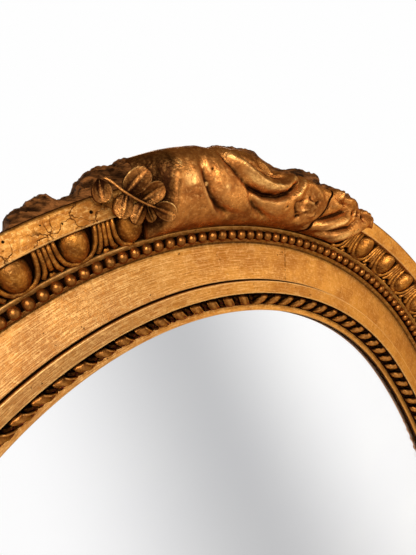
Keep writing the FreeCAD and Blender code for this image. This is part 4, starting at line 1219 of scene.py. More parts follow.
@dataclass
class Drapery:
    """Carved cloth drawn over the top of the frame, in a main block and a right block with an open joint between."""

    section: Sequence[tuple[float, float]] = (
        (34, 42.5), (33.4, 49), (31.2, 56), (26, 62.5), (18, 66.8), (8, 69), (-2, 69.6), (-10, 67.6), (-15.5, 62.5),
        (-18.5, 55), (-19.5, 47.5))
    under: Sequence[tuple[float, float]] = ((2, 47.5), (3, 44), (18, 42), (30, 37))
    forward: Sequence[tuple[float, float]] = (
        (-17.2, 0.30), (-16.2, 0.55), (-15.2, 0.78), (-14.3, 0.92), (-12, 1.0), (-6, 1.0), (0, 1.0), (5, 1.0),
        (8, 0.96), (11, 0.88), (14, 0.80), (16.5, 0.70), (18.5, 0.61), (20.4, 0.50), (21.3, 0.36))
    overhang: Sequence[tuple[float, float]] = (
        (-17.2, 17), (-14, 19.4), (-10, 20.7), (-8.6, 18.8), (-8.0, 18.2), (-6.7, 19.5), (-4.4, 19.0), (-1.8, 15),
        (0, 9), (1.5, 6), (2.7, 4.5), (4.9, 4.5), (7, 3.5), (8.5, 2), (11.5, 2), (14.4, 2.4), (15.3, 3.4), (16.1, 0.2),
        (17.5, 2.4), (18.4, 4.8), (19.25, 2.2), (20.2, 4.6), (21.0, 2.6), (21.3, 0.5))
    foot: Sequence[tuple[float, float]] = (
        (-17.2, 34), (11.5, 34), (13.5, 33), (15.2, 29), (16.8, 22), (18.4, 14.5), (20.4, 9.5), (21.3, 7.0))
    joint: Sequence[tuple[float, float]] = ((-20, 9.0), (2.3, 8.8), (14.5, 8.4), (22, 7.9), (31, 7.3), (36, 7.1))
    folds: Sequence[Fold] = (
        Fold(((-13.1, -10), (-13.5, -4), (-14.05, 4), (-14.6, 16), (-15.2, 30)), 1.7, 2.6, 7.5),
        Fold(((-11.6, -6), (-11.4, 6), (-10.9, 15), (-10.0, 23), (-8.6, 29)), 1.8, 4.0, 2.0),
        Fold(((-10.9, -12), (-10.6, 5), (-10.0, 15), (-9.0, 23), (-7.2, 28.5), (-4.5, 31)), -4.3, 2.4, 3.2),
        Fold(((-9.2, -8), (-8.9, 6), (-8.4, 15), (-7.0, 22), (-5.4, 24)), 1.5, 2.6, 7.0),
        Fold(((-8.6, -18), (-7.9, -7), (-6.7, 2), (-5.4, 9)), -2.2, 1.5, 1.9),
        Fold(((-5.8, 7), (-4.6, 11.5), (-2.6, 15.8), (-0.6, 16.2), (1.0, 12.5), (2.2, 6), (3.0, 0)),
             -5.8, 2.1, 2.5, 0.2),
        Fold(((-7.9, -17), (-6.5, -7), (-4.9, 0), (-3.2, 6), (-1.4, 9), (0.4, 8), (1.7, 3.5), (2.6, -1)),
             5.2, 3.8, 4.4, 0.3),
        Fold(((-6.9, -9), (-5.4, -3), (-3.8, 2.6), (-2.0, 6), (-0.3, 6.2), (0.9, 3.6)), -0.9, 0.9, 0.9),
        Fold(((-6.4, -13), (-4.6, -4), (-2.6, 0.6), (-0.6, 2.0), (1.2, -0.6)), -6.0, 2.0, 3.0),
        Fold(((-4.0, -10), (-1.5, -6), (0.8, -5)), -7.0, 5.0, 6.0),
        Fold(((-5.0, 12), (-4.7, 18), (-3.6, 24), (-1.8, 29), (0.6, 32)), -3.4, 2.0, 2.4),
        Fold(((-2.0, 20), (0.5, 22), (2.6, 21)), 3.2, 8.0, 8.0, 0.5),
        Fold(((3.6, -2), (3.3, 5), (2.6, 12), (1.6, 18)), 3.4, 1.8, 4.2),
        Fold(((3.6, -1), (5.2, 4), (6.9, 9), (7.9, 15)), 2.4, 3.6, 2.6),
        Fold(((2.4, 14), (2.8, 20), (3.6, 26), (5.0, 29.5)), -2.8, 1.7, 1.9),
        Fold(((4.0, 20), (4.4, 17), (5.4, 16), (6.4, 18.5), (6.5, 22), (5.7, 25.2), (4.5, 24.6), (4.0, 21)),
             1.1, 1.6, 1.6, 0.1),
        Fold(((5.1, 19.4), (5.4, 21.6)), -2.0, 1.5, 1.5),
        Fold(((3.9, 27), (4.7, 27.8)), -2.6, 1.2, 1.2),
        Fold(((4.6, 11.5), (5.2, 13.6)), -2.2, 1.3, 1.5),
        Fold(((2.9, 17.5), (4.2, 14.4)), -2.0, 0.9, 1.1),
        Fold(((4.7, 23), (3.3, 25.6)), -2.4, 0.9, 1.1),
        Fold(((5.8, 16.4), (6.9, 12.8)), -1.8, 0.9, 1.0),
        Fold(((6.3, 21.6), (7.2, 24.6)), -1.6, 0.9, 1.0),
        Fold(((6.6, 31), (8.6, 25), (10.6, 19), (12.4, 12.5), (13.4, 8)), -4.2, 1.3, 2.4),
        Fold(((7.4, 32), (10.0, 27.5), (12.4, 21.5), (14.4, 13)), 5.0, 1.7, 5.2),
        Fold(((9.4, 34), (12.2, 29), (14.6, 21.5), (15.8, 13)), -4.8, 1.2, 1.5),
        Fold(((10.8, 35), (13.8, 31), (16.4, 21.5), (18.4, 12), (20.0, 4)), 5.4, 2.2, 5.0),
        Fold(((9.2, 12), (10.6, 10), (12.0, 8)), 2.0, 4.0, 4.0),
        Fold(((8.9, -1), (10.5, 2.0), (12.5, 3.6), (14.6, 1.6)), 3.4, 2.4, 2.6),
        Fold(((9.6, 6), (11.4, 7.6), (13.0, 6.6)), -2.2, 1.3, 1.3),
        Fold(((14.0, 8), (14.6, 12)), -6.0, 2.2, 2.2),
        Fold(((15.6, 5), (15.5, 10)), -6.0, 2.0, 2.0),
        Fold(((16.4, 2), (17.6, 4.5), (19.0, 2)), 3.0, 2.2, 2.2),
        Fold(((19.2, -2), (19.4, 5)), -3.6, 1.2, 1.2),
        Fold(((16.4, 7), (17.4, 9)), -3.0, 1.6, 1.6),
    )
    # Lines of wear and painted highlight along ridges and crests
    bright_wear_and_highlights: Sequence[Fold] = (
        Fold(((-5.9, 0.4), (-4.2, 6.0), (-2.4, 9.2), (-0.4, 9.8), (1.2, 7.2)), 1.8, 1.5, 1.9),
        Fold(((1.4, 4), (2.9, -1.6)), 1.3, 1.3, 1.5),
        Fold(((-7.9, -12), (-6.6, -5)), 0.8, 1.2, 1.2),
        Fold(((-12.7, -2), (-12.5, 9)), 0.75, 5.0, 6.0),
        Fold(((-13.1, -9), (-13.5, -3)), 1.1, 0.7, 0.9),
        Fold(((-10.5, -7), (-10.0, 2)), 0.8, 0.7, 0.9),
        Fold(((-8.6, 8), (-7.6, 13)), 0.5, 3.0, 4.0),
        Fold(((-2.6, 20), (1.0, 21)), 0.4, 4.0, 4.0),
        Fold(((3.3, 4), (2.5, 11)), 0.7, 1.0, 1.2),
        Fold(((5.4, 3.6), (7.4, 8)), 0.6, 1.4, 1.4),
        Fold(((9.4, 28.5), (12.3, 21.5), (14.2, 13)), 1.4, 1.4, 1.8),
        Fold(((12.6, 32), (16.2, 21.5), (18.3, 12)), 1.3, 1.4, 1.8),
        Fold(((16.8, 0), (19.6, 1)), 1.2, 2.0, 2.0),
    )
    knots: Sequence[tuple[float, float, float, float]] = (
        (5.0, 20, 9.0, 2.8), (11.0, 0, 11.0, 2.6), (14.2, 1, 8.0, 2.6), (18.4, 2, 8.0, 2.2), (-1.5, -8, 12.0, 1.8))
    holes: Sequence[tuple[float, float, float]] = (
        (-9.7, -1.6, 0.75), (1.2, 21, 0.8), (-4.3, 5.2, 0.6), (0.2, 13.0, 0.5), (8.8, 15.5, 0.9), (10.4, 8.2, 0.8),
        (-2.9, 10.6, 0.5))
    # Spots of wear and painted highlight: angle, inset and reach
    wear_and_glint_flecks: Sequence[tuple[float, float, float]] = (
        (-13.3, -7, 1.2), (-10.9, -4, 1.5), (-12.2, 6, 1.0), (-10.4, 8, 1.3), (-8.2, 10, 1.0), (1.0, 22.5, 1.0),
        (-5.0, 0, 0.9), (-1.0, 8, 1.2), (3.4, 2, 0.9))
    most_forward: float = 75.6
    crown: float = 8.0
    root_height: float = 45.0
    joint_gap: tuple[float, float] = (0.12, 0.15)
    across: int = 96
    softness: int = 12
    calm_edge: int = 8
    blur_rounds: int = 16
    hole_depth: float = 1.6
    ruffle_mm: float = 14.0
    # Painted shade with glazing on the ruffles and in the folds, and wear with painted highlight on the folds' rises
    ruffle_shade_and_glaze: float = 0.37
    fold_shade_and_glaze: float = 0.85
    fold_wear_and_highlight: float = 0.55
    # Millimetres of dip that take the full painted shade and glazing, and of rise that take the most wear and painted
    # highlight
    full_dip: float = 1.5
    full_rise: float = 1.3
    # Rise and size in millimetres, seed and layers
    roughness: Sequence[tuple[float, float, float, int]] = ((0.35, 16, 1.0, 4), (0.16, 4, 6.0, 2))
    # Painted shade by inset: at the top and the foot, on the first ridge, and on the cloth left of it behind the laurel
    edge_shade: Sequence[tuple[float, float]] = ((-10, 0.32), (3, 0), (25, 0), (32, 0.42))
    ridge_shade: Sequence[tuple[float, float]] = ((0, 0), (4, 0.55), (28, 0.4))
    behind_shade: Sequence[tuple[float, float]] = ((-20, 0.55), (-8, 0.8), (16, 0.98), (25, 0.9), (31, 0.55))
    left_end: float = -17.2
    right_end: float = 21.3

    def surface(self, start: Optional[float], end: Optional[float],
                columns: int) -> tuple[np.ndarray, np.ndarray, np.ndarray]:
        """Shapes one block of cloth.

        Args:
            start: Its left end in degrees, or None for the joint.
            end: Its right end in degrees, or None for the joint.
            columns: Points along it.

        Returns:
            Points in metres, and the painted shade with dirt and the wear with painted highlight of each one.
        """
        insets, heights = smoothed(resampled(self.section, self.across, True), self.softness).T
        angles = self.spread(start, end, columns, insets)
        v, h = (np.repeat(s[None, :], columns, 0) for s in (insets, heights))
        v = self.reach(angles, v)
        root = self.root_height
        h = root + (h - root) * np.where(h > root, table(self.forward, angles), 1.0)
        dv, dh = np.gradient(v, axis=1), np.gradient(h, axis=1)
        size = np.hypot(dv, dh)
        lift, ruffle_shade_and_glazing = self.relief(angles, v, TOP.place(angles, v, h))
        hollow, rub = self.tones(angles, v, lift, ruffle_shade_and_glazing)
        for *spot, radius in self.holes:
            sink = np.clip(1.4 - gap_mm(angles, v, *spot) / radius, 0, 1)
            lift -= self.hole_depth * sink
            hollow = np.maximum(hollow, 1.3 * sink)
        for *spot, radius in self.wear_and_glint_flecks:
            rub = np.maximum(rub, np.clip(1.6 - gap_mm(angles, v, *spot) / radius, 0, 1.2))
        for column, bound in ((0, start), (-1, end)):
            if bound is None:
                hollow[column], rub[column] = 1.0, 0.0
        v, h = v + dh / size * lift, np.minimum(h - dv / size * lift, self.most_forward)
        return TOP.place(angles, v, h), hollow, rub

    def relief(self, angles: np.ndarray, insets: np.ndarray, cloth: np.ndarray) -> tuple[np.ndarray, np.ndarray]:
        """Works out the folds, the ruffles and the roughness.

        Args:
            angles: Degrees along the crest.
            insets: Millimetres inward from the outer edge.
            cloth: The smooth cloth's points in metres.

        Returns:
            Millimetres outward at each point, and the painted shade and glazing that lie on the ruffles.
        """
        lift = sum(fold.lift(angles, insets) for fold in self.folds)
        ruffle_shade_and_glazing = np.zeros_like(lift)
        for *spot, reach, rise in self.knots:
            near = np.exp(-((gap_mm(angles, insets, *spot) / reach) ** 2))
            lift += near * rise * (1.0 - 2.6 * np.abs(rumple(cloth, self.ruffle_mm, spot[0], 2)))
            ruffle_shade_and_glazing = np.maximum(ruffle_shade_and_glazing, self.ruffle_shade_and_glaze * near)
        for rise, size_mm, seed, octaves in self.roughness:
            lift += rise * rumple(cloth, size_mm, seed, octaves)
        places = np.arange(lift.shape[1])
        return lift * np.clip(np.minimum(places, places[::-1]) / self.calm_edge, 0, 1)[None, :], ruffle_shade_and_glazing

    def tones(self, angles: np.ndarray, insets: np.ndarray, lift: np.ndarray,
              ruffle_shade_and_glazing: np.ndarray) -> tuple[np.ndarray, np.ndarray]:
        """Works out the painted shade and glazing in the folds, and the wear and painted highlight on the ridges.

        Args:
            angles: Degrees along the crest.
            insets: Millimetres inward from the outer edge.
            lift: Millimetres outward at each point.
            ruffle_shade_and_glazing: The painted shade and glazing that lie on the ruffles.

        Returns:
            The painted shade with dirt and the wear with painted highlight of each point.
        """
        blur = lift.copy()
        for _ in range(self.blur_rounds):
            smoothed(blur)
            smoothed(blur.T)
        bend = lift - blur
        # Painted shade with glazing in the dips, and wear with painted highlight on the rises
        hollow = np.maximum(self.fold_shade_and_glaze * np.clip(-bend / self.full_dip, 0, 1) ** 1.2, ruffle_shade_and_glazing)
        rub = self.fold_wear_and_highlight * np.clip(bend / self.full_rise - 0.05, 0, 1)
        for line in self.bright_wear_and_highlights:
            rub = np.maximum(rub, line.lift(angles, insets))
        # Painted shade at the top and the foot, behind the first ridge and on it
        ridge_at = table(self.folds[0].path_by_inset(), insets)
        behind = np.clip((ridge_at + 0.5 - angles) / 1.3, 0, 1)
        ridge = np.exp(-((angles - ridge_at - 0.1) / 0.45) ** 2) * table(self.ridge_shade, insets)
        for pool in (table(self.edge_shade, insets), behind * table(self.behind_shade, insets), ridge):
            hollow = np.maximum(hollow, pool)
        return hollow, rub * (1 - behind) * (1 - ridge)

    def spread(self, start: Optional[float], end: Optional[float], columns: int, insets: np.ndarray) -> np.ndarray:
        """Spreads angles over a block, whose end at the open joint slants.

        Args:
            start: The left end in degrees, or None for the joint.
            end: The right end in degrees, or None for the joint.
            columns: Points along the block.
            insets: Insets of the points across it.

        Returns:
            Angles by column and inset.
        """
        joint = table(self.joint, insets)[None, :]
        before, after = self.joint_gap
        left = joint + after if start is None else np.full_like(joint, start)
        right = joint - before if end is None else np.full_like(joint, end)
        return left + (right - left) * np.linspace(0, 1, columns)[:, None]

    def reach(self, angles: np.ndarray, insets: np.ndarray) -> np.ndarray:
        """Draws the cloth's overhang and foot to their places along the crest.

        Args:
            angles: Degrees along the crest.
            insets: Insets of the full section.

        Returns:
            Insets at those angles.
        """
        over, foot = table(self.overhang, angles), table(self.foot, angles)
        crown, full_foot, full_over = self.crown, self.section[0][0], -self.section[-1][0]
        outer = crown - (crown - insets) * (crown + over) / (crown + full_over)
        inner = crown + (insets - crown) * (foot - crown) / (full_foot - crown)
        return np.where(insets < crown, outer, inner)

    def block(self, name: str, start: Optional[float], end: Optional[float], columns: int) -> Any:
        """Makes one closed block.

        Args:
            name: The object's name.
            start: Its left end in degrees, or None for the joint.
            end: Its right end in degrees, or None for the joint.
            columns: Points along it.

        Returns:
            The block.
        """
        points, hollow, rub = self.surface(start, end, columns)
        insets, heights = np.array(self.under).T
        angles = self.spread(start, end, columns, insets)
        backs = TOP.place(angles, self.reach(angles, insets[None, :]), heights[None, :])
        rows = points.shape[1] + backs.shape[1]
        points = np.concatenate([points, backs], axis=1)
        marks = {mark: np.concatenate([values, np.ones(backs.shape[:2])], axis=1)
                 for mark, values in (("hollow", hollow), ("rub", rub))}
        return outward(add_object(name, points.reshape(-1, 3), sheet_faces(columns, rows, True, True), marks))

    def build(self) -> list[Any]:
        """Makes both blocks."""
        return [self.block("drapery", self.left_end, None, 190),
                self.block("drapery_right", None, self.right_end, 112)]


@dataclass
class HewnGround:
    """Rough-hewn wood behind the crest, in two blocks on the frame's outer edge."""

    reach: Sequence[tuple[float, float]] = (
        (-29.9, 0.6), (-29.5, 1.2), (-29.3, 5.4), (-29.0, 7.0), (-28.1, 7.8), (-27.1, 8.7), (-26.0, 10.0), (-25.4, 9.8),
        (-25.05, 6.3), (-24.85, 4.2), (-24.5, 5.0), (-23.9, 4.6), (-23.0, 4.4), (-22.7, 5.8), (-22.2, 9.6),
        (-21.9, 11.6), (-20.8, 15.0), (-19.5, 16.0), (-19.1, 14.6), (-18.0, 16.8), (-17.0, 17.8), (-16, 16.5),
        (-13, 13), (-9, 13), (-7.8, 17), (-6.9, 22.6), (-4.4, 22.8), (-1.8, 21.8), (-0.7, 16), (1.44, 11), (2.7, 10),
        (4.9, 14), (7, 12), (8.5, 5.5), (9.7, 9), (11.5, 7.5), (14.7, 8.5), (15.6, 4), (17, 3), (19.6, 2), (23.6, 1))
    front: Sequence[tuple[float, float]] = (
        (-30, 52), (-8, 53), (-6, 58), (-1, 58), (1.5, 58), (3, 63), (7.5, 63), (8.6, 58), (10, 61), (15, 61), (16, 56),
        (24, 50))
    bold: Sequence[tuple[float, float]] = ((-30, 1.0), (-10, 1.0), (-7, 0.45), (3, 0.55), (5, 1.0), (24, 0.8))
    # Shares of the reach, or insets where they aren't negative, and heights of the section from back to front
    section: Sequence[tuple[float, float]] = (
        (6, 15), (1.2, 15), (-0.35, 16), (-0.72, 21), (-0.96, 29), (-1.0, 38), (-0.92, 45), (-0.66, 50), (-0.3, 52),
        (1.0, 52), (6, 50))
    back_height: float = 15.0
    front_height: float = 52.0
    furthest: float = 23.6
    across: int = 46
    ends: tuple[float, float, float] = (-29.9, 0.48, 23.8)

    def block(self, name: str, start: float, end: float, columns: int, seed: float) -> Any:
        """Makes one block.

        Args:
            name: The object's name.
            start: Its left end in degrees.
            end: Its right end in degrees.
            columns: Points along it.
            seed: Shifts its roughness.

        Returns:
            The block.
        """
        share, height = resampled(self.section, self.across).T[:, None, :]
        angle = np.linspace(start, end, columns)[:, None]
        inset = np.where(share < 0, share * table(self.reach, angle), share)
        back, full = self.back_height, self.front_height - self.back_height
        heights = back + (height - back) * (table(self.front, angle) - back) / full
        angles = np.repeat(angle, self.across, 1)
        base = TOP.place(angles, inset, heights)
        rough = rumple(base * np.array([1, 1.0, 2.2]), 9, seed, 4)
        chips = np.abs(rumple(base, 5, seed + 3, 3))
        free = np.clip(-inset / 4, 0, 1) * table(self.bold, angle)
        lift = free * (1.5 * rough - 1.9 * chips + 0.6)
        # Painted shade with some dirt: darker where the wood is cut lower and chipped
        hollow = np.clip(0.35 - rough * 0.9 + chips * 0.5, 0, 1) * free
        inset = np.maximum(inset - lift, -self.furthest)
        heights = heights + free * 1.2 * rough
        points = TOP.place(angles, inset, heights)
        faces = sheet_faces(columns, self.across, True, True)
        return outward(add_object(name, points.reshape(-1, 3), faces, {"hollow": hollow}))

    def build(self) -> list[Any]:
        """Makes both blocks."""
        left, split, right = self.ends
        return [self.block("hewn_ground_left", left, split, 170, 2.0),
                self.block("hewn_ground_right", split, right, 130, 5.0)]


@dataclass(frozen=True)
class Leaf:
    """A laurel leaf: its root's angle, inset and height, its direction in degrees from the right, and its form."""

    angle: float
    inset: float
    height: float
    heading: float
    length: float
    width: float
    cup: float
    rise: float = 0.0
    tilt: float = 0.0
    # The body's painted shade, and the strength of the painted highlight on the rim
    dark: float = 0.5
    rim: float = 1.0


@dataclass
class LaurelSpray:
    """A carved spray of laurel: a thin stem and its leaves, in front of the drapery's left end."""

    stem: Sequence[tuple[float, float, float]] = (
        (-21.2, -6.5, 68.5), (-20.8, -4, 69.5), (-20.2, 2, 70.5), (-19.2, 8.5, 70.5), (-18.2, 13, 69.5),
        (-17.2, 16.5, 68.5))
    thickness: float = 2.4
    vein_rise: float = 0.8
    # Widths of the vein and of the grooves beside it, and where those and the rim with wear and painted highlight lie,
    # as shares of a half leaf
    vein_width: float = 0.11
    groove_width: float = 0.14
    groove_at: float = 0.26
    rim_at: float = 0.82
    stem_radius: float = 0.95
    stem_taper: float = 0.25
    leaves: Sequence[Leaf] = (
        Leaf(-21.5, -7.0, 66.0, -99, 13.0, 10.0, 2.6, -1.0, 16),
        Leaf(-19.7, 5.5, 64.5, 33, 21.0, 12.5, 2.8, 2.2, -18, 0.5, 2.0),
        Leaf(-18.5, 11.8, 64.0, 19, 19.5, 12.0, 3.2, 2.2, 14, 0.42),
        Leaf(-19.4, 3.2, 67.5, -118, 15.8, 10.8, -2.2, -2.5, 12, 0.42),
        Leaf(-17.9, 10.6, 66.5, -129, 15.0, 10.2, -2.2, -2.5, -10),
        Leaf(-17.4, 15.6, 68.5, -30, 16.5, 10.8, 2.6, -1.0, 12, 0.4, 2.6),
        Leaf(-17.6, 14.5, 63.0, -72, 10.0, 7.5, 1.6, -3.0, 0),
    )

    def leaf(self, leaf: Leaf, shape: Shape) -> None:
        """Adds one leaf.

        Args:
            leaf: Its sizes.
            shape: The spray so far.
        """
        rows, columns = 14, 17
        heading, tilt = math.radians(leaf.heading), math.tan(math.radians(leaf.tilt))
        base, front = len(shape.points), rows * columns
        for depth in (0.0, self.thickness):
            for row in range(rows):
                s = 0.5 - 0.5 * math.cos(math.pi * row / (rows - 1))
                half = leaf.width / 2 * max(0.1, (1 - abs(2 * s ** 1.25 - 1) ** 2.4)) ** 0.5 * min(1.0, 0.4 + 2.4 * s)
                for column in range(columns):
                    w = column / (columns - 1) * 2 - 1
                    along, across = s * leaf.length, w * half
                    vein = math.exp(-((w / self.vein_width) ** 2)) * (1 - 0.7 * s)
                    beside = math.exp(-(((abs(w) - self.groove_at) / self.groove_width) ** 2)) * (1 - 0.6 * s)
                    up = leaf.rise * s + leaf.cup * (abs(w) ** 1.3 - 0.4) * math.sin(math.pi * s) ** 0.7
                    up += self.vein_rise * vein + tilt * across - depth
                    angle = leaf.angle + (along * math.cos(heading) - across * math.sin(heading)) / MM_PER_DEGREE
                    inset = leaf.inset - (along * math.sin(heading) + across * math.cos(heading))
                    # Painted shade on the body, in the grooves and at the base, with the back layer dark; painted
                    # highlight on the vein and the rims, stronger on one side
                    hollow = leaf.dark + 0.4 * beside + 0.5 * (1 - s) ** 2 - 0.3 * vein
                    edge = max(0.0, abs(w) - self.rim_at) * (3.4 if w > 0 else 1.4) * s * leaf.rim
                    shape.add(TOP.place(angle, inset, leaf.height + up), 1.0 if depth else hollow,
                              0.0 if depth else edge + 0.3 * vein)
        for face in sheet_faces(rows, columns):
            shape.faces.append(tuple(base + c for c in face))
            shape.faces.append(tuple(base + front + c for c in face[::-1]))
        rim = list(range(columns)) + [r * columns + columns - 1 for r in range(1, rows)]
        rim += [(rows - 1) * columns + c for c in range(columns - 2, -1, -1)]
        rim += [r * columns for r in range(rows - 2, 0, -1)]
        for here, after in zip(rim, rim[1:] + rim[:1]):
            shape.faces.append((base + after, base + here, base + front + here, base + front + after))

    def build(self) -> Any:
        """Makes the spray.

        Returns:
            The stem and leaves as one piece.
        """
        shape = Shape()
        for leaf in self.leaves:
            self.leaf(leaf, shape)
        fine = smoothed(resampled(self.stem, 26), 3)
        ring = 8
        for index, (angle, inset, height) in enumerate(fine):
            radius = self.stem_radius - self.stem_taper * index / len(fine)
            for step in range(ring):
                around = 2 * math.pi * step / ring
                aside, up = math.cos(around), math.sin(around)
                point = TOP.place(angle + aside * radius * 0.9 / MM_PER_DEGREE, inset - aside * radius * 0.35,
                                  height + up * radius)
                # Painted shade under the stem and a painted highlight on its top
                shape.add(point, 0.45 - 0.45 * up, 0.35 * max(0.0, up))
        shape.skin(len(fine), ring)
        return shape.build("laurel_spray")


# Glass and back
@dataclass
class MirrorGlass:
    """Plate glass, silvered on its back."""

    inset: float = 88.5
    front: float = 26.45
    back: float = 22.55
    steps: int = 60

    def build(self) -> Any:
        """Makes the plate.

        Returns:
            The plate, with its two materials.
        """
        rim = np.concatenate([
            arc.place(np.linspace(-arc.half_angle, arc.half_angle, self.steps)[:-1], self.inset, 0)
            for arc in ARCS.values()])
        count = len(rim)
        front, back = rim.copy(), rim.copy()
        front[:, 1], back[:, 1] = -self.front * MM, -self.back * MM
        faces = [tuple(range(count)), tuple(range(2 * count - 1, count - 1, -1))]
        faces += [(k, count + k, count + (k + 1) % count, (k + 1) % count) for k in range(count)]
        made = outward(add_object("mirror_glass", np.concatenate([front, back]), faces, None, False))
        for finish in (Finish.GLASS, Finish.SILVER):
            made.data.materials.append(finish.material())
        made.data.polygons[1].material_index = 1
        return made


@dataclass
class Back:
    """Planks, hangers, screws and hidden blocks, which keep their solids."""

    finishes: Sequence[tuple[Finish, str, Sequence[str]]] = (
        (Finish.STEEL, "steel", ("backboard_screws", "crest_screws", "hanger_screws")),
        (Finish.PINE, "pine", ("backboard_left", "backboard_centre", "backboard_right", "glazing_blocks",
                               "segment_tongues")),
        (Finish.BRASS, "brass", ("hanger_strap_left", "hanger_strap_right", "hanger_ring_left", "hanger_ring_right")),
    )

    def dress(self, nodes: dict[str, Any]) -> None:
        """Gives each solid its finish.

        Args:
            nodes: The frame's CAD nodes by name.
        """
        for finish, slot_name, names in self.finishes:
            for name in names:
                made = nodes[name]
                made.data.materials.clear()
                made.data.materials.append(finish.material())
                log.info("%s: %s", name, slot_name)


# Studio
@dataclass
class Studio:
    """Pale floor, white surroundings, soft lamps, and a camera where the photographer stood."""

    floor_drop: float = 0.002
    eye: tuple[float, float, float] = (-0.2003, -0.2814, 0.4709)
    look: tuple[float, float, float] = (0.5415, 0.8404, -0.0218)
    lens: float = 25.95
    sensor: float = 36.0
    world_light: float = 0.45
    world_sheen: float = 0.85
    # The way from which the glass sees the room's open side
    open_way: tuple[float, float, float] = (0.8213, 0.4078, 0.399)
    floor_half: float = 4.0
    # Each lamp's name, place, aim, width in metres and power in watts
    lamps: Sequence[tuple[str, tuple, tuple, float, float]] = (
        ("key", (-0.78, -1.6, 0.86), (0.0, -0.05, 0.4), 0.9, 30.5),
        ("side", (1.0, -1.2, 0.75), (0.0, -0.05, 0.4), 0.9, 4.6),
        ("rear", (0.7, 1.8, 1.0), (0.0, 0.0, 0.1), 1.2, 16.0),
    )

    def surroundings(self) -> None:
        """Makes the world: white to the eye, a soft grey band in the glass, dim to the gilding, and an even fill."""
        world = bpy.data.worlds.new("white studio")
        world.use_nodes = True
        tree = world.node_tree
        tree.nodes.clear()
        way = node(tree, PLACE, out="Generated")
        aside = node(tree, VECTOR, {"operation": "DOT_PRODUCT"}, (way, Vector(self.open_way).normalized()), "Value")
        open_side = node(tree, MATH, LARGER, [
            node(tree, RAMP, SMOOTH, (aside, low, high)) for low, high in ((-0.03, 0.29), (-0.02, -0.46))])
        room, warm = (
            node(tree, MIX, TINT, {"Factor_Float": open_side, "A_Color": linear(near), "B_Color": linear(far)},
                 "Result_Color") for near, far in (("#c5c6c8", "#ffffff"), ("#cdbba2", "#fff2e0")))
        rise = node(tree, AXES, {}, (way,), "Z")
        even = layered(tree, linear("#fbf6ee"), [(rise, -0.1, 0.7, 1.0, "#968d80")])
        dim = layered(tree, warm, [(rise, -0.1, 0.7, 1.0, "#7d6a54")])
        fill, sheen, seen, shown = (
            node(tree, "ShaderNodeBackground", {}, {"Color": colour, "Strength": strength})
            for colour, strength in ((even, self.world_light), (dim, self.world_sheen), (room, 1.0),
                                     (linear("#fefefe"), 1.0)))
        light = fill
        for ray, other in (("Is Glossy Ray", sheen), ("Is Transmission Ray", seen), ("Is Camera Ray", shown)):
            light = node(tree, "ShaderNodeMixShader", {}, (node(tree, "ShaderNodeLightPath", out=ray), light, other))
        node(tree, "ShaderNodeOutputWorld", {}, {"Surface": light})
        bpy.context.scene.world = world

    def floor(self, lowest: float) -> Any:
        """Lays the floor under the mirror.

        Args:
            lowest: The height of the mirror's lowest point in metres.

        Returns:
            The floor.
        """
        half, z = self.floor_half, lowest - self.floor_drop
        made = add_object("floor", [(-half, -half, z), (half, -half, z), (half, half, z), (-half, half, z)],
                          [(0, 1, 2, 3)])
        made.data.materials.append(Finish.FLOOR.material())
        made.visible_glossy = made.visible_transmission = False
        return made

    def lamp(self, name: str, place: Sequence[float], aim: Sequence[float], size: float, power: float) -> Any:
        """Hangs a soft square lamp.

        Args:
            name: The lamp's name.
            place: Where it hangs, in metres.
            aim: The point that it faces.
            size: Its width in metres.
            power: Its power in watts.

        Returns:
            The lamp's object.
        """
        data = bpy.data.lights.new(name, "AREA")
        data.shape, data.size, data.energy = "SQUARE", size, power
        made = bpy.data.objects.new(name, data)
        made.location = place
        made.rotation_euler = (Vector(aim) - Vector(place)).to_track_quat("-Z", "Y").to_euler()
        bpy.context.scene.collection.objects.link(made)
        return made

    def camera(self) -> None:
        """Sets up the camera."""
        data = bpy.data.cameras.new("camera")
        data.sensor_fit, data.lens = "VERTICAL", self.lens
        data.sensor_height = data.sensor_width = self.sensor
        data.clip_start = 0.01
        made = bpy.data.objects.new("camera", data)
        made.location = self.eye
        made.rotation_euler = Vector(self.look).to_track_quat("-Z", "Y").to_euler()
        bpy.context.scene.collection.objects.link(made)
        bpy.context.scene.camera = made

    def build(self, lowest: float) -> None:
        """Args:
            lowest: The height of the mirror's lowest point in metres.
        """
        self.surroundings()
        floor = self.floor(lowest)
        lamps = [self.lamp(*row) for row in self.lamps]
        self.camera()
        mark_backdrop(floor, *lamps)
        bpy.context.scene.view_settings.view_transform = "Standard"


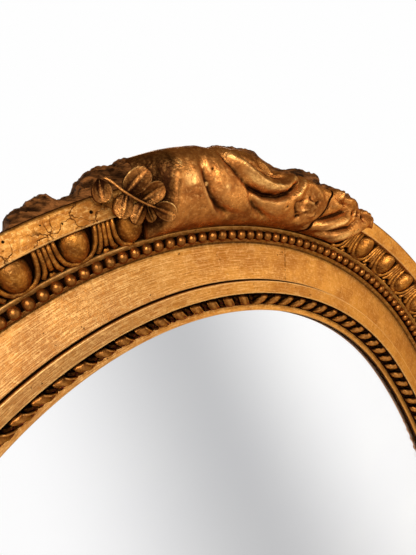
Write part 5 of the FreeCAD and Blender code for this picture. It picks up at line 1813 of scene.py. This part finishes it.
# Courses: how many pearls, turns and eggs stand on each arc, and the eggs' pitch over the bed
PEARLS = {"top": 56, "right": 102, "bottom": 56, "left": 102}
TURNS = {"top": 29, "right": 57, "bottom": 29, "left": 57}
EGGS = {"top": 9, "right": 26, "bottom": 15, "left": 26}
EGG_PITCH_MM = 35.9
# Where the first egg and the first dart stand after a joint, as shares of the pitch
EGG_SHARE, DART_SHARE = 0.25, 0.77


def main() -> None:
    """Builds the mirror's pieces in order and reports each one."""
    logging.basicConfig(level=logging.INFO, format="%(name)s: %(message)s")
    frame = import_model()
    nodes = frame["nodes"]
    solid_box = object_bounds()

    sweep, course = sweep_tree(), course_tree()
    for moulding, prefix in ((FRAME, "frame_segment"), (SLIP, "slip")):
        for arc, piece in zip(ARCS, moulding.build(sweep)):
            dress(piece, None, f"{prefix}_{arc}")

    pearls = Course("pearls", 40.6, 37.3, PEARLS, Finish.PEARL, swell=0.03, sway=0.2)
    twist = Course("twist", *TWIST_MIDDLE, TURNS, Finish.PEARL, 0.92, swell=0.02, sway=0.03)
    pitch, half = math.degrees(EGG_PITCH_MM / (TOP.radius - BED_MIDDLE[0])), TOP.half_angle
    eggs, darts = (
        Course(name, *BED_MIDDLE, EGGS, Finish.PRESSED, share, top_step=pitch,
               top_runs=((-half + share * pitch, before), (half + (share - after) * pitch, after)))
        for name, share, before, after in (("eggs", EGG_SHARE, 5, 4), ("darts", DART_SHARE, 4, 5)))
    for ornament, units, prefix in ((pearls, (pearl_unit(),), "bead_course"),
                                    (twist, (twist_unit(1), twist_unit(-1)), "twist_course"),
                                    (eggs, (egg_unit(),), "eggs"), (darts, (dart_unit(),), "darts")):
        for side, piece in zip(ornament.counts, ornament.build(course, *units)):
            dress(piece, None, f"{prefix}_{side}")

    for piece, name in zip(Drapery().build(), ("crest_drape", "crest_drape_right")):
        dress(piece, Finish.CARVED, name)
    for piece, name in zip(HewnGround().build(), ("crest_ground_left", "crest_ground_right")):
        dress(piece, Finish.HEWN, name)
    dress(LaurelSpray().build(), Finish.CARVED, "laurel_spray")
    dress(MirrorGlass().build(), None, "mirror_plate")
    Back().dress(nodes)

    Studio().build(solid_box[0][2])


if __name__ == "__main__":
    main()
